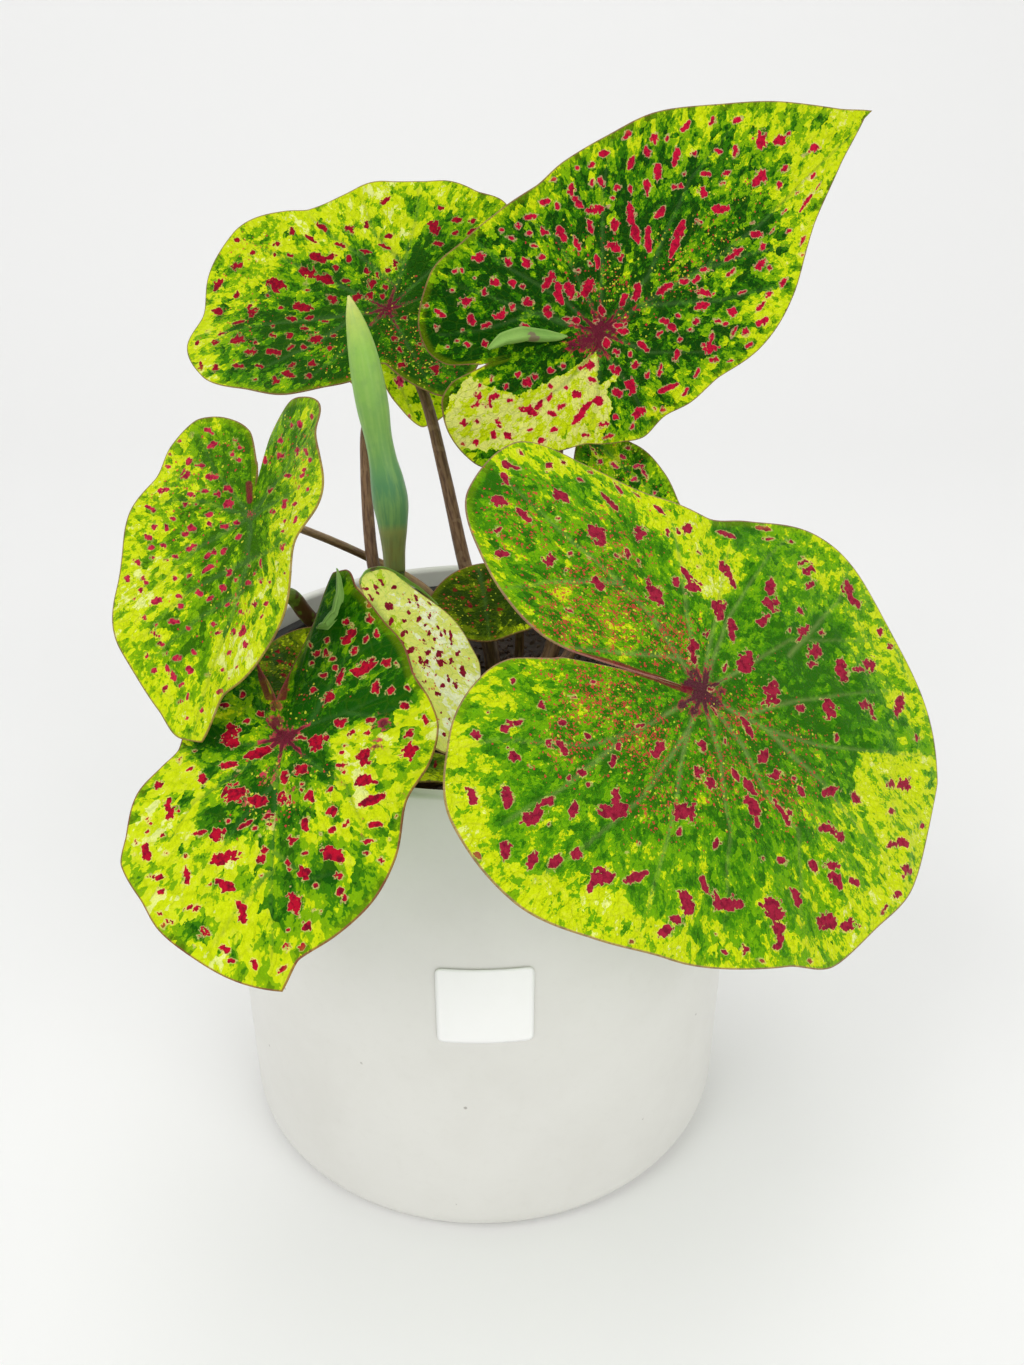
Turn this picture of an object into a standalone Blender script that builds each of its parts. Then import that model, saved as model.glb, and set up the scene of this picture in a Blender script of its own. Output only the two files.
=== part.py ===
"""Caladium with eleven leaves and one flower bud, growing in a nursery pot inside a cover pot.

Run with: blender --background --python part.py
The frame is +Z up, with the origin at the centre of the cover pot's flat underside and
the front of the plant towards -Y. Named sizes are in millimetres, and each mesh is made
in metres.
"""
import math
from dataclasses import dataclass

import bmesh
import bpy
from mathutils import Vector
from mathutils.noise import noise

MM = 0.001
MERGE = 0.0001
CONTACT_GAP = 0.3

# Cover pot, turned, with a flat underside
COVER_HEIGHT = 135.0
COVER_RADIUS = 70.0
COVER_BASE_RADIUS = 68.6
COVER_WALL = 3.5
COVER_FLOOR = 6.0
COVER_HEEL_ROUND = 8.0
COVER_LIP_ROUND = 1.2
COVER_STEPS = 60

# Nursery pot, which stands on the cover pot's floor
NURSERY_TOP = 130.0
NURSERY_LIP_RADIUS = 65.6
NURSERY_LIP_DEPTH = 9.0
NURSERY_TOP_RADIUS = 63.6
NURSERY_BASE_RADIUS = 50.0
NURSERY_WALL = 1.2
NURSERY_FLOOR = 1.6
NURSERY_HEEL = 2.0
NURSERY_LIP_BEVEL = 0.4
DRAIN_HOLES = 6
DRAIN_HOLE_RADIUS = 4.0
DRAIN_RING_RADIUS = 34.0
HOLE_SIDES = 12
CUT_OVERRUN = 2.0
NURSERY_STEPS = 40

# Soil, a low mound with a cavity that the tuber fills
SOIL_EDGE_TOP = 120.0
SOIL_MOUND = 2.0
SOIL_BUMP = 0.8
SOIL_BUMP_SCALE = 0.11
SOIL_BUMP_SLICE = 3.7
SOIL_HEEL = 3.0
SOIL_SECTORS = 32
SOIL_RINGS = 5

# Tuber, a flattened round body that every stalk grows from
TUBER_CENTRE_Z = 97.0
TUBER_RADIUS = 19.5
TUBER_HALF_HEIGHT = 12.0
TUBER_SECTORS = 24
TUBER_RINGS = 12

# Blank label stuck on the front of the cover pot
LABEL_WIDTH = 23.0
LABEL_HEIGHT = 22.0
LABEL_THICKNESS = 0.3
LABEL_BOTTOM = 67.0
LABEL_TURN = 1.6
LABEL_CORNER = 1.2
LABEL_CORNER_SHARE = 0.15
LABEL_COLUMNS = 8

# Leaves and stalks
BLADE_THICKNESS = 0.8
STALK_BEVEL_RESOLUTION = 2
STALK_SEAT = 7.0
STALK_STRAIGHT = 4.0
HOLE_CLEARANCE = 0.4
STALK_POINTS_PER_SPAN = 2
FOLD_ROUND = 4.0
BEND_SPAN = 200.0
LARGE_LEAF = dict(step=10.0, rings=(0.14, 0.34, 0.56, 0.79, 1.0))
SMALL_LEAF = dict(step=18.0, rings=(0.22, 0.6, 1.0))

# Flower bud, a rolled hood narrowed at its waist
BUD_SPINE = ((-23.4, 18.0, 152.0), (-24.2, 22.0, 170.0), (-27.1, 25.8, 187.0), (-30.6, 30.3, 208.0),
             (-33.7, 33.0, 221.5))
BUD_POINTS_PER_SPAN = 3
BUD_RADII = (2.8, 3.2, 4.1, 4.9, 4.6, 3.9, 3.8, 4.4, 4.4, 3.9, 3.1, 2.1, 0.5)
BUD_STALK_BASE = (-6.0, 7.0)
BUD_STALK_PATH = ((-9.0, 9.0, 131.0), (-17.0, 14.0, 141.0))
BUD_STALK_RADII = (2.4, 2.6)

COLOURS = {
    "pot_white": ((0.78, 0.79, 0.76, 1.0), 0.42),
    "pot_black": ((0.012, 0.012, 0.013, 1.0), 0.5),
    "soil_brown": ((0.045, 0.028, 0.018, 1.0), 0.95),
    "tuber_brown": ((0.13, 0.08, 0.045, 1.0), 0.9),
    "label_white": ((0.9, 0.9, 0.9, 1.0), 0.6),
    "leaf_green": ((0.16, 0.42, 0.01, 1.0), 0.42),
    "leaf_lime": ((0.42, 0.66, 0.02, 1.0), 0.42),
    "leaf_cream": ((0.76, 0.83, 0.38, 1.0), 0.42),
    "leaf_olive": ((0.11, 0.17, 0.01, 1.0), 0.45),
    "stalk_brown": ((0.10, 0.05, 0.02, 1.0), 0.5),
    "stalk_green": ((0.10, 0.17, 0.03, 1.0), 0.5),
    "bud_green": ((0.24, 0.42, 0.25, 1.0), 0.5),
}


@dataclass(frozen=True)
class Leaf:
    """One leaf: its blade's place and outline, and the route of its stalk.

    facing is the compass direction that the upper face looks to, in degrees to the right
    of the front, and lean is how far that face looks up. roll is the tip's direction in
    the plane of the blade, in degrees up from level right. The outline is two lists of
    (bearing, reach) pairs, from the tip round to the notch, seen from above the blade.
    """
    name: str
    junction: tuple
    facing: float
    lean: float
    roll: float
    left: tuple
    right: tuple
    fold: float
    tip_droop: float
    side_droop: float
    lobe_droop: float
    twist: float
    wave: float
    wave_count: float
    base: tuple
    route: tuple
    radii: tuple
    blade_colour: str
    stalk_colour: str
    detail: dict


LEAVES = (
    Leaf("leaf_top_right", (32.0, 47.6, 209.9), 22.0, 12.0, 30.8,
         left=((0, 110), (4, 99), (12, 85), (25, 69), (40, 58), (55, 49), (70, 44), (85, 41), (100, 42),
               (115, 45), (130, 51), (142, 52), (150, 48), (156, 36), (159, 18)),
         right=((0, 107), (4, 92), (12, 75), (25, 62), (40, 50), (55, 38), (70, 33), (85, 30), (100, 31),
                (115, 30), (130, 30), (147, 34), (156, 41), (172, 50), (184, 51), (194, 47), (198, 36)),
         fold=0.10, tip_droop=0.10, side_droop=0.10, lobe_droop=0.10, twist=0.0, wave=1.0, wave_count=9,
         base=(12.0, 8.0), route=((19.0, 13.0, 131.0), (22.5, 31.0, 154.0), (21.0, 47.5, 179.0)),
         radii=(2.4, 1.6), blade_colour="leaf_green", stalk_colour="stalk_brown", detail=LARGE_LEAF),
    Leaf("leaf_top_left", (-29.7, 84.6, 210.4), -8.0, 42.0, 178.6,
         left=((0, 60), (12, 63), (25, 59), (40, 48), (55, 42), (70, 32), (85, 26), (100, 22), (110, 27),
               (119, 33), (128, 39), (138, 39), (150, 37), (160, 31), (168, 23), (175, 14)),
         right=((0, 60), (12, 62), (25, 58), (40, 46), (48, 41), (60, 39), (70, 38), (85, 38), (100, 40),
                (111, 42), (124, 43), (136, 47), (148, 45), (160, 37), (172, 24)),
         fold=0.25, tip_droop=0.45, side_droop=0.05, lobe_droop=0.0, twist=0.0, wave=1.2, wave_count=8,
         base=(3.0, 14.0), route=((1.5, 20.0, 131.0), (-5.2, 38.0, 146.0), (-12.0, 60.0, 168.0),
                                  (-18.5, 77.0, 187.0)),
         radii=(2.3, 1.5), blade_colour="leaf_lime", stalk_colour="stalk_brown", detail=LARGE_LEAF),
    Leaf("leaf_left", (-49.0, -34.7, 185.3), -48.0, 38.0, -69.5,
         left=((0, 51), (9, 42), (19, 41), (34, 37), (47, 34), (68, 28), (84, 30), (105, 28), (121, 27),
               (146, 29), (159, 28), (168, 27), (175, 25), (184, 20), (191, 9)),
         right=((0, 51), (7, 51), (16, 47), (30, 42), (40, 40), (54, 37), (63, 35), (76, 33), (87, 32),
                (106, 31), (122, 34), (136, 33), (143, 31), (151, 28), (160, 23), (166, 14)),
         fold=0.30, tip_droop=0.25, side_droop=0.05, lobe_droop=0.1, twist=-0.3, wave=1.0, wave_count=7,
         base=(-3.0, 16.0), route=((-7.0, 22.0, 131.0), (-16.4, 31.0, 141.6), (-33.2, 37.7, 149.0),
                                   (-45.0, 6.0, 168.0), (-46.0, -16.0, 176.0)),
         radii=(1.5, 0.9), blade_colour="leaf_lime", stalk_colour="stalk_brown", detail=LARGE_LEAF),
    Leaf("leaf_front_left", (-39.5, -66.6, 147.6), -35.0, 52.0, -56.4,
         left=((0, 54), (5, 49), (14, 48), (24, 46), (36, 42), (52, 37), (63, 38), (76, 37), (85, 35),
               (99, 32), (125, 32), (148, 36), (158, 41), (163, 41), (167, 28), (173, 20), (183, 12), (190, 9)),
         right=((0, 54), (12, 51), (23, 48), (32, 46), (44, 43), (58, 42), (66, 38), (78, 33), (87, 28),
                (98, 25), (112, 25), (125, 26), (140, 30), (152, 32), (160, 28), (163, 18)),
         fold=0.12, tip_droop=0.15, side_droop=0.10, lobe_droop=0.0, twist=-0.15, wave=1.0, wave_count=8,
         base=(-14.0, -3.0), route=((-21.0, -4.0, 130.5), (-40.8, -7.6, 147.4), (-46.2, -15.0, 158.5),
                                    (-51.0, -32.0, 160.5), (-51.0, -47.0, 150.0), (-45.0, -58.0, 142.5)),
         radii=(2.3, 1.6), blade_colour="leaf_lime", stalk_colour="stalk_green", detail=LARGE_LEAF),
    Leaf("leaf_front_right", (48.8, -58.0, 153.8), 41.0, 44.0, -32.5,
         left=((0, 81), (12, 79), (25, 77), (40, 73), (55, 66), (70, 55), (85, 47), (100, 50), (115, 59),
               (130, 69), (145, 66), (158, 56), (168, 48), (174, 41), (177, 34), (178.6, 11)),
         right=((0, 81), (12, 77), (25, 72), (40, 66), (55, 64), (70, 59), (85, 58), (100, 59), (115, 63),
                (130, 68), (145, 70), (158, 63), (170, 53), (176, 46), (179.5, 35)),
         fold=0.0, tip_droop=0.38, side_droop=0.17, lobe_droop=0.17, twist=0.25, wave=1.1, wave_count=9,
         base=(8.0, -4.0), route=((10.0, -7.0, 131.0), (24.0, -24.0, 141.5), (38.0, -43.0, 146.5)),
         radii=(2.4, 1.8), blade_colour="leaf_green", stalk_colour="stalk_green", detail=LARGE_LEAF),
    Leaf("leaf_cream", (-25.5, -13.9, 152.8), 72.0, 42.0, -113.7,
         left=((0, 39), (13, 38), (29, 37), (46, 35), (58, 34), (67, 31), (83, 27), (99, 23), (114, 20),
               (132, 18), (151, 15), (170, 11), (185, 6)),
         right=((0, 39), (12, 34), (25, 30), (40, 26), (55, 22), (70, 17), (85, 13), (100, 12), (120, 12),
                (140, 12), (158, 10)),
         fold=0.10, tip_droop=0.0, side_droop=0.0, lobe_droop=0.0, twist=0.0, wave=0.6, wave_count=6,
         base=(-7.0, -7.0), route=((-12.0, -9.0, 129.0), (-21.0, -12.5, 139.0)),
         radii=(1.8, 1.2), blade_colour="leaf_cream", stalk_colour="stalk_green", detail=SMALL_LEAF),
    Leaf("leaf_inner_back", (10.9, 15.3, 144.3), 10.0, 62.0, 175.8,
         left=((0, 26), (25, 23), (50, 18), (75, 12), (100, 10), (130, 8), (150, 7), (170, 5), (180, 3)),
         right=((0, 26), (25, 22), (50, 17), (75, 13), (100, 10), (130, 8), (155, 7), (170, 5)),
         fold=0.1, tip_droop=0.2, side_droop=0.1, lobe_droop=0.0, twist=0.0, wave=0.4, wave_count=5,
         base=(9.5, 14.5), route=((10.2, 17.0, 129.0),),
         radii=(1.6, 1.1), blade_colour="leaf_olive", stalk_colour="stalk_brown", detail=SMALL_LEAF),
    Leaf("leaf_back", (-33.7, 93.1, 196.0), 0.0, 35.0, 86.2,
         left=((0, 30), (25, 24), (50, 18), (75, 15), (100, 13), (130, 13), (148, 13), (165, 9), (180, 5)),
         right=((0, 30), (25, 26), (50, 24), (75, 24), (100, 26), (115, 27), (130, 30), (145, 29), (156, 18),
                (168, 8)),
         fold=0.1, tip_droop=0.2, side_droop=0.1, lobe_droop=0.0, twist=0.0, wave=0.6, wave_count=6,
         base=(-13.0, 5.5), route=((-17.5, 11.5, 131.0), (-26.5, 23.0, 143.0), (-30.7, 28.5, 153.0),
                                   (-35.3, 64.2, 175.0), (-35.0, 82.0, 180.5), (-34.5, 94.0, 186.0)),
         radii=(2.1, 1.3), blade_colour="leaf_lime", stalk_colour="stalk_brown", detail=SMALL_LEAF),
    Leaf("leaf_back_right", (43.9, 32.2, 156.0), 15.0, 40.0, 110.9,
         left=((0, 34), (12, 28), (25, 23), (45, 18), (70, 16), (95, 14), (120, 13), (145, 11), (165, 8),
               (180, 5)),
         right=((0, 34), (15, 33), (30, 29), (50, 22), (75, 17), (100, 15), (125, 14), (150, 12), (168, 9)),
         fold=0.1, tip_droop=0.2, side_droop=0.1, lobe_droop=0.0, twist=0.0, wave=0.6, wave_count=6,
         base=(15.0, -2.0), route=((21.0, 4.0, 130.0), (33.0, 22.0, 141.0)),
         radii=(1.9, 1.2), blade_colour="leaf_green", stalk_colour="stalk_brown", detail=SMALL_LEAF),
    Leaf("leaf_under_left", (-35.0, -30.6, 141.6), -20.0, 62.0, 178.7,
         left=((0, 26), (12, 21), (25, 17), (45, 13), (75, 11), (100, 10), (130, 11), (150, 10), (168, 7),
               (180, 4)),
         right=((0, 26), (15, 24), (40, 21), (60, 18), (85, 14), (110, 11), (135, 10), (158, 8), (170, 6)),
         fold=0.1, tip_droop=0.1, side_droop=0.1, lobe_droop=0.0, twist=0.0, wave=0.4, wave_count=5,
         base=(-11.0, -11.0), route=((-16.0, -15.0, 127.5), (-27.0, -23.0, 132.5)),
         radii=(1.6, 1.1), blade_colour="leaf_olive", stalk_colour="stalk_brown", detail=SMALL_LEAF),
    Leaf("leaf_under_front", (-13.5, -52.5, 133.2), 5.0, 80.0, -19.1,
         left=((0, 12), (20, 10), (40, 7), (70, 5), (100, 4), (130, 5), (155, 6), (170, 5), (180, 3)),
         right=((0, 12), (20, 11), (40, 8), (70, 7), (100, 7), (130, 7), (155, 7), (170, 4)),
         fold=0.1, tip_droop=0.2, side_droop=0.1, lobe_droop=0.0, twist=0.0, wave=0.2, wave_count=5,
         base=(5.0, -12.0), route=((6.0, -20.0, 127.0), (3.0, -38.0, 127.5), (-6.0, -49.0, 127.0)),
         radii=(1.5, 0.9), blade_colour="leaf_olive", stalk_colour="stalk_brown", detail=SMALL_LEAF),
)


def clear_scene():
    """Remove every object, so that the script also runs from an open file."""
    for item in list(bpy.data.objects):
        bpy.data.objects.remove(item, do_unlink=True)


def make_collection(name):
    """Return a new collection under the scene's own."""
    group = bpy.data.collections.new(name)
    bpy.context.scene.collection.children.link(group)
    return group


def make_material(name):
    """Return a Principled material with the named colour and roughness."""
    colour, roughness = COLOURS[name]
    material = bpy.data.materials.new(name)
    material.use_nodes = True
    shader = material.node_tree.nodes["Principled BSDF"]
    shader.inputs["Base Color"].default_value = colour
    shader.inputs["Roughness"].default_value = roughness
    material.diffuse_color = colour
    return material


def add_object(name, data, group, colour=None):
    """Link a new object and give it its own material."""
    item = bpy.data.objects.new(name, data)
    group.objects.link(item)
    if colour:
        material = make_material(colour)
        material.name = name + "_finish"
        data.materials.append(material)
    return item


def mesh_from_bmesh(name, work, smooth=True):
    """Turn a bmesh into a mesh and free it."""
    mesh = bpy.data.meshes.new(name)
    work.to_mesh(mesh)
    work.free()
    if smooth:
        mesh.shade_smooth()
    return mesh


def turned(name, profile, steps, group, colour):
    """Turn a closed profile of (radius, height) points about the Z axis."""
    work = bmesh.new()
    points = [work.verts.new((radius * MM, 0.0, height * MM)) for radius, height in profile]
    for first, second in zip(points, points[1:]):
        work.edges.new((first, second))
    item = add_object(name, mesh_from_bmesh(name, work, smooth=False), group, colour)
    screw = item.modifiers.new("Turn", "SCREW")
    screw.axis = "Z"
    screw.steps = steps
    screw.render_steps = steps
    screw.use_merge_vertices = True
    screw.merge_threshold = MERGE
    screw.use_smooth_shade = True
    screw.use_normal_calculate = True
    return item


def arc(centre, radius, start, end, steps):
    """Return points on an arc in the profile plane, from one angle to another in degrees."""
    angles = [math.radians(start + (end - start) * i / steps) for i in range(steps + 1)]
    return [(centre[0] + radius * math.cos(a), centre[1] + radius * math.sin(a)) for a in angles]


def cover_radius(height):
    """Return the cover pot's outer radius at a height."""
    return COVER_BASE_RADIUS + (COVER_RADIUS - COVER_BASE_RADIUS) * height / COVER_HEIGHT


def build_cover_pot(group):
    """Turn the cover pot: round lip, near-straight wall, rounded heel and flat underside."""
    lip_z = COVER_HEIGHT - COVER_LIP_ROUND
    inner_top = COVER_RADIUS - COVER_WALL
    inner_base = COVER_BASE_RADIUS - COVER_WALL
    heel_x = cover_radius(COVER_HEEL_ROUND) - COVER_HEEL_ROUND
    inner_round = COVER_HEEL_ROUND - COVER_WALL
    profile = [(0.0, COVER_FLOOR)]
    profile += arc((inner_base - inner_round, COVER_FLOOR + inner_round), inner_round, -90, 0, 3)
    profile += arc((inner_top + COVER_LIP_ROUND, lip_z), COVER_LIP_ROUND, 180, 90, 2)
    profile += arc((COVER_RADIUS - COVER_LIP_ROUND, lip_z), COVER_LIP_ROUND, 90, 0, 2)
    profile += arc((heel_x, COVER_HEEL_ROUND), COVER_HEEL_ROUND, 0, -90, 4)
    profile += [(0.0, 0.0)]
    return turned("cover_pot", profile, COVER_STEPS, group, "pot_white")


def nursery_radius(height):
    """Return the nursery pot's outer wall radius at a height."""
    share = (height - COVER_FLOOR) / (NURSERY_TOP - COVER_FLOOR)
    return NURSERY_BASE_RADIUS + (NURSERY_TOP_RADIUS - NURSERY_BASE_RADIUS) * share


def build_nursery_pot(group, cutters):
    """Turn the thin tapered pot with its rolled-out lip, and cut its drainage holes."""
    bottom = COVER_FLOOR + CONTACT_GAP
    floor = bottom + NURSERY_FLOOR
    lip_bottom = NURSERY_TOP - NURSERY_LIP_DEPTH
    profile = [
        (0.0, floor),
        (nursery_radius(floor) - NURSERY_WALL - NURSERY_HEEL, floor),
        (nursery_radius(floor + NURSERY_HEEL) - NURSERY_WALL, floor + NURSERY_HEEL),
        (NURSERY_TOP_RADIUS - NURSERY_WALL, NURSERY_TOP - NURSERY_LIP_BEVEL),
        (NURSERY_TOP_RADIUS - NURSERY_WALL + NURSERY_LIP_BEVEL, NURSERY_TOP),
        (NURSERY_LIP_RADIUS - NURSERY_LIP_BEVEL, NURSERY_TOP),
        (NURSERY_LIP_RADIUS, NURSERY_TOP - NURSERY_LIP_BEVEL),
        (NURSERY_LIP_RADIUS, lip_bottom),
        (nursery_radius(lip_bottom), lip_bottom),
        (nursery_radius(bottom + NURSERY_HEEL), bottom + NURSERY_HEEL),
        (nursery_radius(bottom) - NURSERY_HEEL, bottom),
        (0.0, bottom),
    ]
    pot = turned("nursery_pot", profile, NURSERY_STEPS, group, "pot_black")
    for index in range(DRAIN_HOLES):
        angle = 2.0 * math.pi * index / DRAIN_HOLES
        place = (DRAIN_RING_RADIUS * math.cos(angle), DRAIN_RING_RADIUS * math.sin(angle))
        cut_cylinder(pot, place, DRAIN_HOLE_RADIUS, bottom - CUT_OVERRUN, floor + CUT_OVERRUN, cutters)
    return pot


def cut_cylinder(target, place, radius, low, high, cutters):
    """Cut an upright round hole in the target."""
    work = bmesh.new()
    bmesh.ops.create_cone(work, cap_ends=True, segments=HOLE_SIDES, radius1=radius * MM,
                          radius2=radius * MM, depth=(high - low) * MM)
    name = target.name + "_hole_cutter"
    cutter = add_object(name, mesh_from_bmesh(name, work, smooth=False), cutters)
    cutter.location = (place[0] * MM, place[1] * MM, (low + high) / 2.0 * MM)
    subtract(target, cutter)


def subtract(target, cutter):
    """Cut one object from another, and keep the cutter out of the model."""
    cutter.hide_render = True
    cutter.display_type = "WIRE"
    cut = target.modifiers.new("Cut", "BOOLEAN")
    cut.operation = "DIFFERENCE"
    cut.solver = "EXACT"
    cut.object = cutter


def tuber_surface(distance):
    """Return the height of the tuber's top at a distance from its axis."""
    share = min(distance / TUBER_RADIUS, 1.0)
    return TUBER_CENTRE_Z + TUBER_HALF_HEIGHT * math.sqrt(1.0 - share * share)


def ellipsoid(name, grow, group, colour):
    """Return the tuber's flattened ball, grown by a margin."""
    work = bmesh.new()
    bmesh.ops.create_uvsphere(work, u_segments=TUBER_SECTORS, v_segments=TUBER_RINGS, radius=1.0)
    wide = (TUBER_RADIUS + grow) * MM
    high = (TUBER_HALF_HEIGHT + grow) * MM
    for vert in work.verts:
        vert.co = Vector((vert.co.x * wide, vert.co.y * wide, vert.co.z * high + TUBER_CENTRE_Z * MM))
    return add_object(name, mesh_from_bmesh(name, work), group, colour)


def soil_top(x, y):
    """Return the height of the soil's bumpy surface."""
    share = math.hypot(x, y) / NURSERY_TOP_RADIUS
    bump = noise(Vector((x * SOIL_BUMP_SCALE, y * SOIL_BUMP_SCALE, SOIL_BUMP_SLICE)))
    return SOIL_EDGE_TOP + SOIL_MOUND * (1.0 - share * share) + SOIL_BUMP * bump


def soil_radius(height):
    """Return the soil's radius, which fills the nursery pot but for the contact gap."""
    return nursery_radius(height) - NURSERY_WALL - 2.0 * CONTACT_GAP


def build_soil(group, cutters, holes):
    """Build the plug of soil with its bumpy top, the tuber's cavity and a hole for each stalk."""
    bottom = COVER_FLOOR + 2.0 * CONTACT_GAP + NURSERY_FLOOR
    edge_radius = soil_radius(SOIL_EDGE_TOP)
    work = bmesh.new()
    centre = work.verts.new((0.0, 0.0, soil_top(0.0, 0.0) * MM))
    loops = []
    for ring in range(1, SOIL_RINGS + 1):
        radius = edge_radius * ring / SOIL_RINGS
        loops.append(soil_loop(work, radius, None))
    loops.append(soil_loop(work, soil_radius(bottom + SOIL_HEEL), bottom + SOIL_HEEL))
    loops.append(soil_loop(work, soil_radius(bottom) - SOIL_HEEL, bottom))
    fan(work, centre, loops[0])
    for inner, outer in zip(loops, loops[1:]):
        bridge(work, inner, outer)
    under = work.verts.new((0.0, 0.0, bottom * MM))
    fan(work, under, list(reversed(loops[-1])))
    bmesh.ops.recalc_face_normals(work, faces=work.faces)
    soil = add_object("soil", mesh_from_bmesh("soil", work), group, "soil_brown")
    cavity = ellipsoid("tuber_cavity_cutter", CONTACT_GAP, cutters, None)
    subtract(soil, cavity)
    above = SOIL_EDGE_TOP + SOIL_MOUND + SOIL_BUMP + CUT_OVERRUN
    for place, radius in holes:
        cut_cylinder(soil, place, radius + HOLE_CLEARANCE, TUBER_CENTRE_Z, above, cutters)
    return soil


def soil_loop(work, radius, height):
    """Add one round loop of soil vertices, on the bumpy top where no height is given."""
    loop = []
    for sector in range(SOIL_SECTORS):
        angle = 2.0 * math.pi * sector / SOIL_SECTORS
        x, y = radius * math.cos(angle), radius * math.sin(angle)
        z = soil_top(x, y) if height is None else height
        loop.append(work.verts.new((x * MM, y * MM, z * MM)))
    return loop


def fan(work, centre, loop):
    """Close a loop with triangles to a centre."""
    for index, vert in enumerate(loop):
        work.faces.new((centre, vert, loop[(index + 1) % len(loop)]))


def bridge(work, inner, outer):
    """Join two loops of the same length with pairs of triangles."""
    count = len(inner)
    for index in range(count):
        after = (index + 1) % count
        work.faces.new((inner[index], outer[index], outer[after]))
        work.faces.new((inner[index], outer[after], inner[after]))


def build_label(group):
    """Bend the blank label round the front of the cover pot."""
    half_angle = LABEL_WIDTH / COVER_RADIUS / 2.0
    turn = math.radians(LABEL_TURN)
    work = bmesh.new()
    columns = []
    for column in range(LABEL_COLUMNS + 1):
        across = -1.0 + 2.0 * column / LABEL_COLUMNS
        near_corner = max(0.0, 1.0 - (1.0 - abs(across)) / LABEL_CORNER_SHARE)
        inset = LABEL_CORNER * near_corner ** 2
        pair = []
        for height in (LABEL_BOTTOM + inset, LABEL_BOTTOM + LABEL_HEIGHT - inset):
            angle = -math.pi / 2.0 + turn + across * half_angle
            radius = cover_radius(height) + CONTACT_GAP + LABEL_THICKNESS
            pair.append(work.verts.new((radius * math.cos(angle) * MM, radius * math.sin(angle) * MM,
                                        height * MM)))
        columns.append(pair)
    for (low, high), (next_low, next_high) in zip(columns, columns[1:]):
        work.faces.new((low, next_low, next_high, high))
    label = add_object("label", mesh_from_bmesh("label", work, smooth=False), group, "label_white")
    thicken(label, LABEL_THICKNESS)
    return label


def thicken(item, thickness):
    """Give an open sheet its thickness, behind the face that it shows."""
    solidify = item.modifiers.new("Thickness", "SOLIDIFY")
    solidify.thickness = thickness * MM
    solidify.offset = -1.0
    solidify.use_even_offset = False


def smooth_reach(points, bearing):
    """Return the outline's reach at a bearing, on a curve that doesn't overshoot its points."""
    for index in range(len(points) - 1):
        (b0, r0), (b1, r1) = points[index], points[index + 1]
        if b0 <= bearing <= b1:
            break
    before = slope_at(points, index)
    after = slope_at(points, index + 1)
    span = b1 - b0
    t = (bearing - b0) / span
    return ((2 * t ** 3 - 3 * t ** 2 + 1) * r0 + (t ** 3 - 2 * t ** 2 + t) * span * before
            + (3 * t ** 2 - 2 * t ** 3) * r1 + (t ** 3 - t ** 2) * span * after)


def slope_at(points, index):
    """Return the outline's slope at one of its points, level at each peak and dip."""
    if index == 0 or index == len(points) - 1:
        return 0.0
    (b0, r0), (b1, r1), (b2, r2) = points[index - 1:index + 2]
    first = (r1 - r0) / (b1 - b0)
    second = (r2 - r1) / (b2 - b1)
    if first * second <= 0.0:
        return 0.0
    return 2.0 * first * second / (first + second)


def side_rays(points, step):
    """Return (bearing, reach) rays of one side: its own points and even steps between them."""
    rays = []
    for (b0, _), (b1, _) in zip(points, points[1:]):
        count = max(1, round((b1 - b0) / step))
        rays += [b0 + (b1 - b0) * i / count for i in range(count)]
    rays.append(points[-1][0])
    return [(bearing, smooth_reach(points, bearing)) for bearing in rays]


def outline_rays(leaf):
    """Return the rays all round the blade, with bearings that grow to the left of the tip."""
    step = leaf.detail["step"]
    left = side_rays(leaf.left, step)
    right = [(360.0 - bearing, reach) for bearing, reach in side_rays(leaf.right, step)]
    return left + list(reversed(right))[:-1]


def blade_height(leaf, ahead, aside, share, bearing):
    """Return how far the blade's upper face stands above its plane at a point."""
    fold = leaf.fold * (math.sqrt(aside * aside + FOLD_ROUND * FOLD_ROUND) - FOLD_ROUND)
    droop = leaf.tip_droop if ahead > 0.0 else leaf.lobe_droop
    bend = (droop * ahead * ahead + leaf.side_droop * aside * aside) / BEND_SPAN
    twist = leaf.twist * ahead * aside / BEND_SPAN
    ripple = leaf.wave * share ** 3 * math.sin(math.radians(bearing) * leaf.wave_count)
    return fold - bend + twist + ripple


def leaf_axes(leaf):
    """Return the blade's axes: towards the tip, to the left, and up from the upper face."""
    facing, lean = math.radians(leaf.facing), math.radians(leaf.lean)
    up = Vector((math.cos(lean) * math.sin(facing), -math.cos(lean) * math.cos(facing), math.sin(lean)))
    level = Vector((math.cos(facing), math.sin(facing), 0.0))
    rise = up.cross(level)
    roll = math.radians(leaf.roll)
    ahead = level * math.cos(roll) + rise * math.sin(roll)
    return ahead, up.cross(ahead), up


def build_blade(leaf, group):
    """Build the blade as a waved sheet of triangles, fanned out from the stalk's junction."""
    ahead_axis, left_axis, up_axis = leaf_axes(leaf)
    junction = Vector(leaf.junction)
    rays = outline_rays(leaf)
    work = bmesh.new()
    centre = work.verts.new(junction * MM)
    loops = []
    for share in leaf.detail["rings"]:
        loop = []
        for bearing, reach in rays:
            angle = math.radians(bearing)
            ahead, aside = share * reach * math.cos(angle), share * reach * math.sin(angle)
            height = blade_height(leaf, ahead, aside, share, bearing)
            point = junction + ahead_axis * ahead + left_axis * aside + up_axis * height
            loop.append(work.verts.new(point * MM))
        loops.append(loop)
    fan(work, centre, loops[0])
    for inner, outer in zip(loops, loops[1:]):
        bridge(work, inner, outer)
    name = leaf.name + "_blade"
    blade = add_object(name, mesh_from_bmesh(name, work), group, leaf.blade_colour)
    thicken(blade, BLADE_THICKNESS)
    return blade


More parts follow.
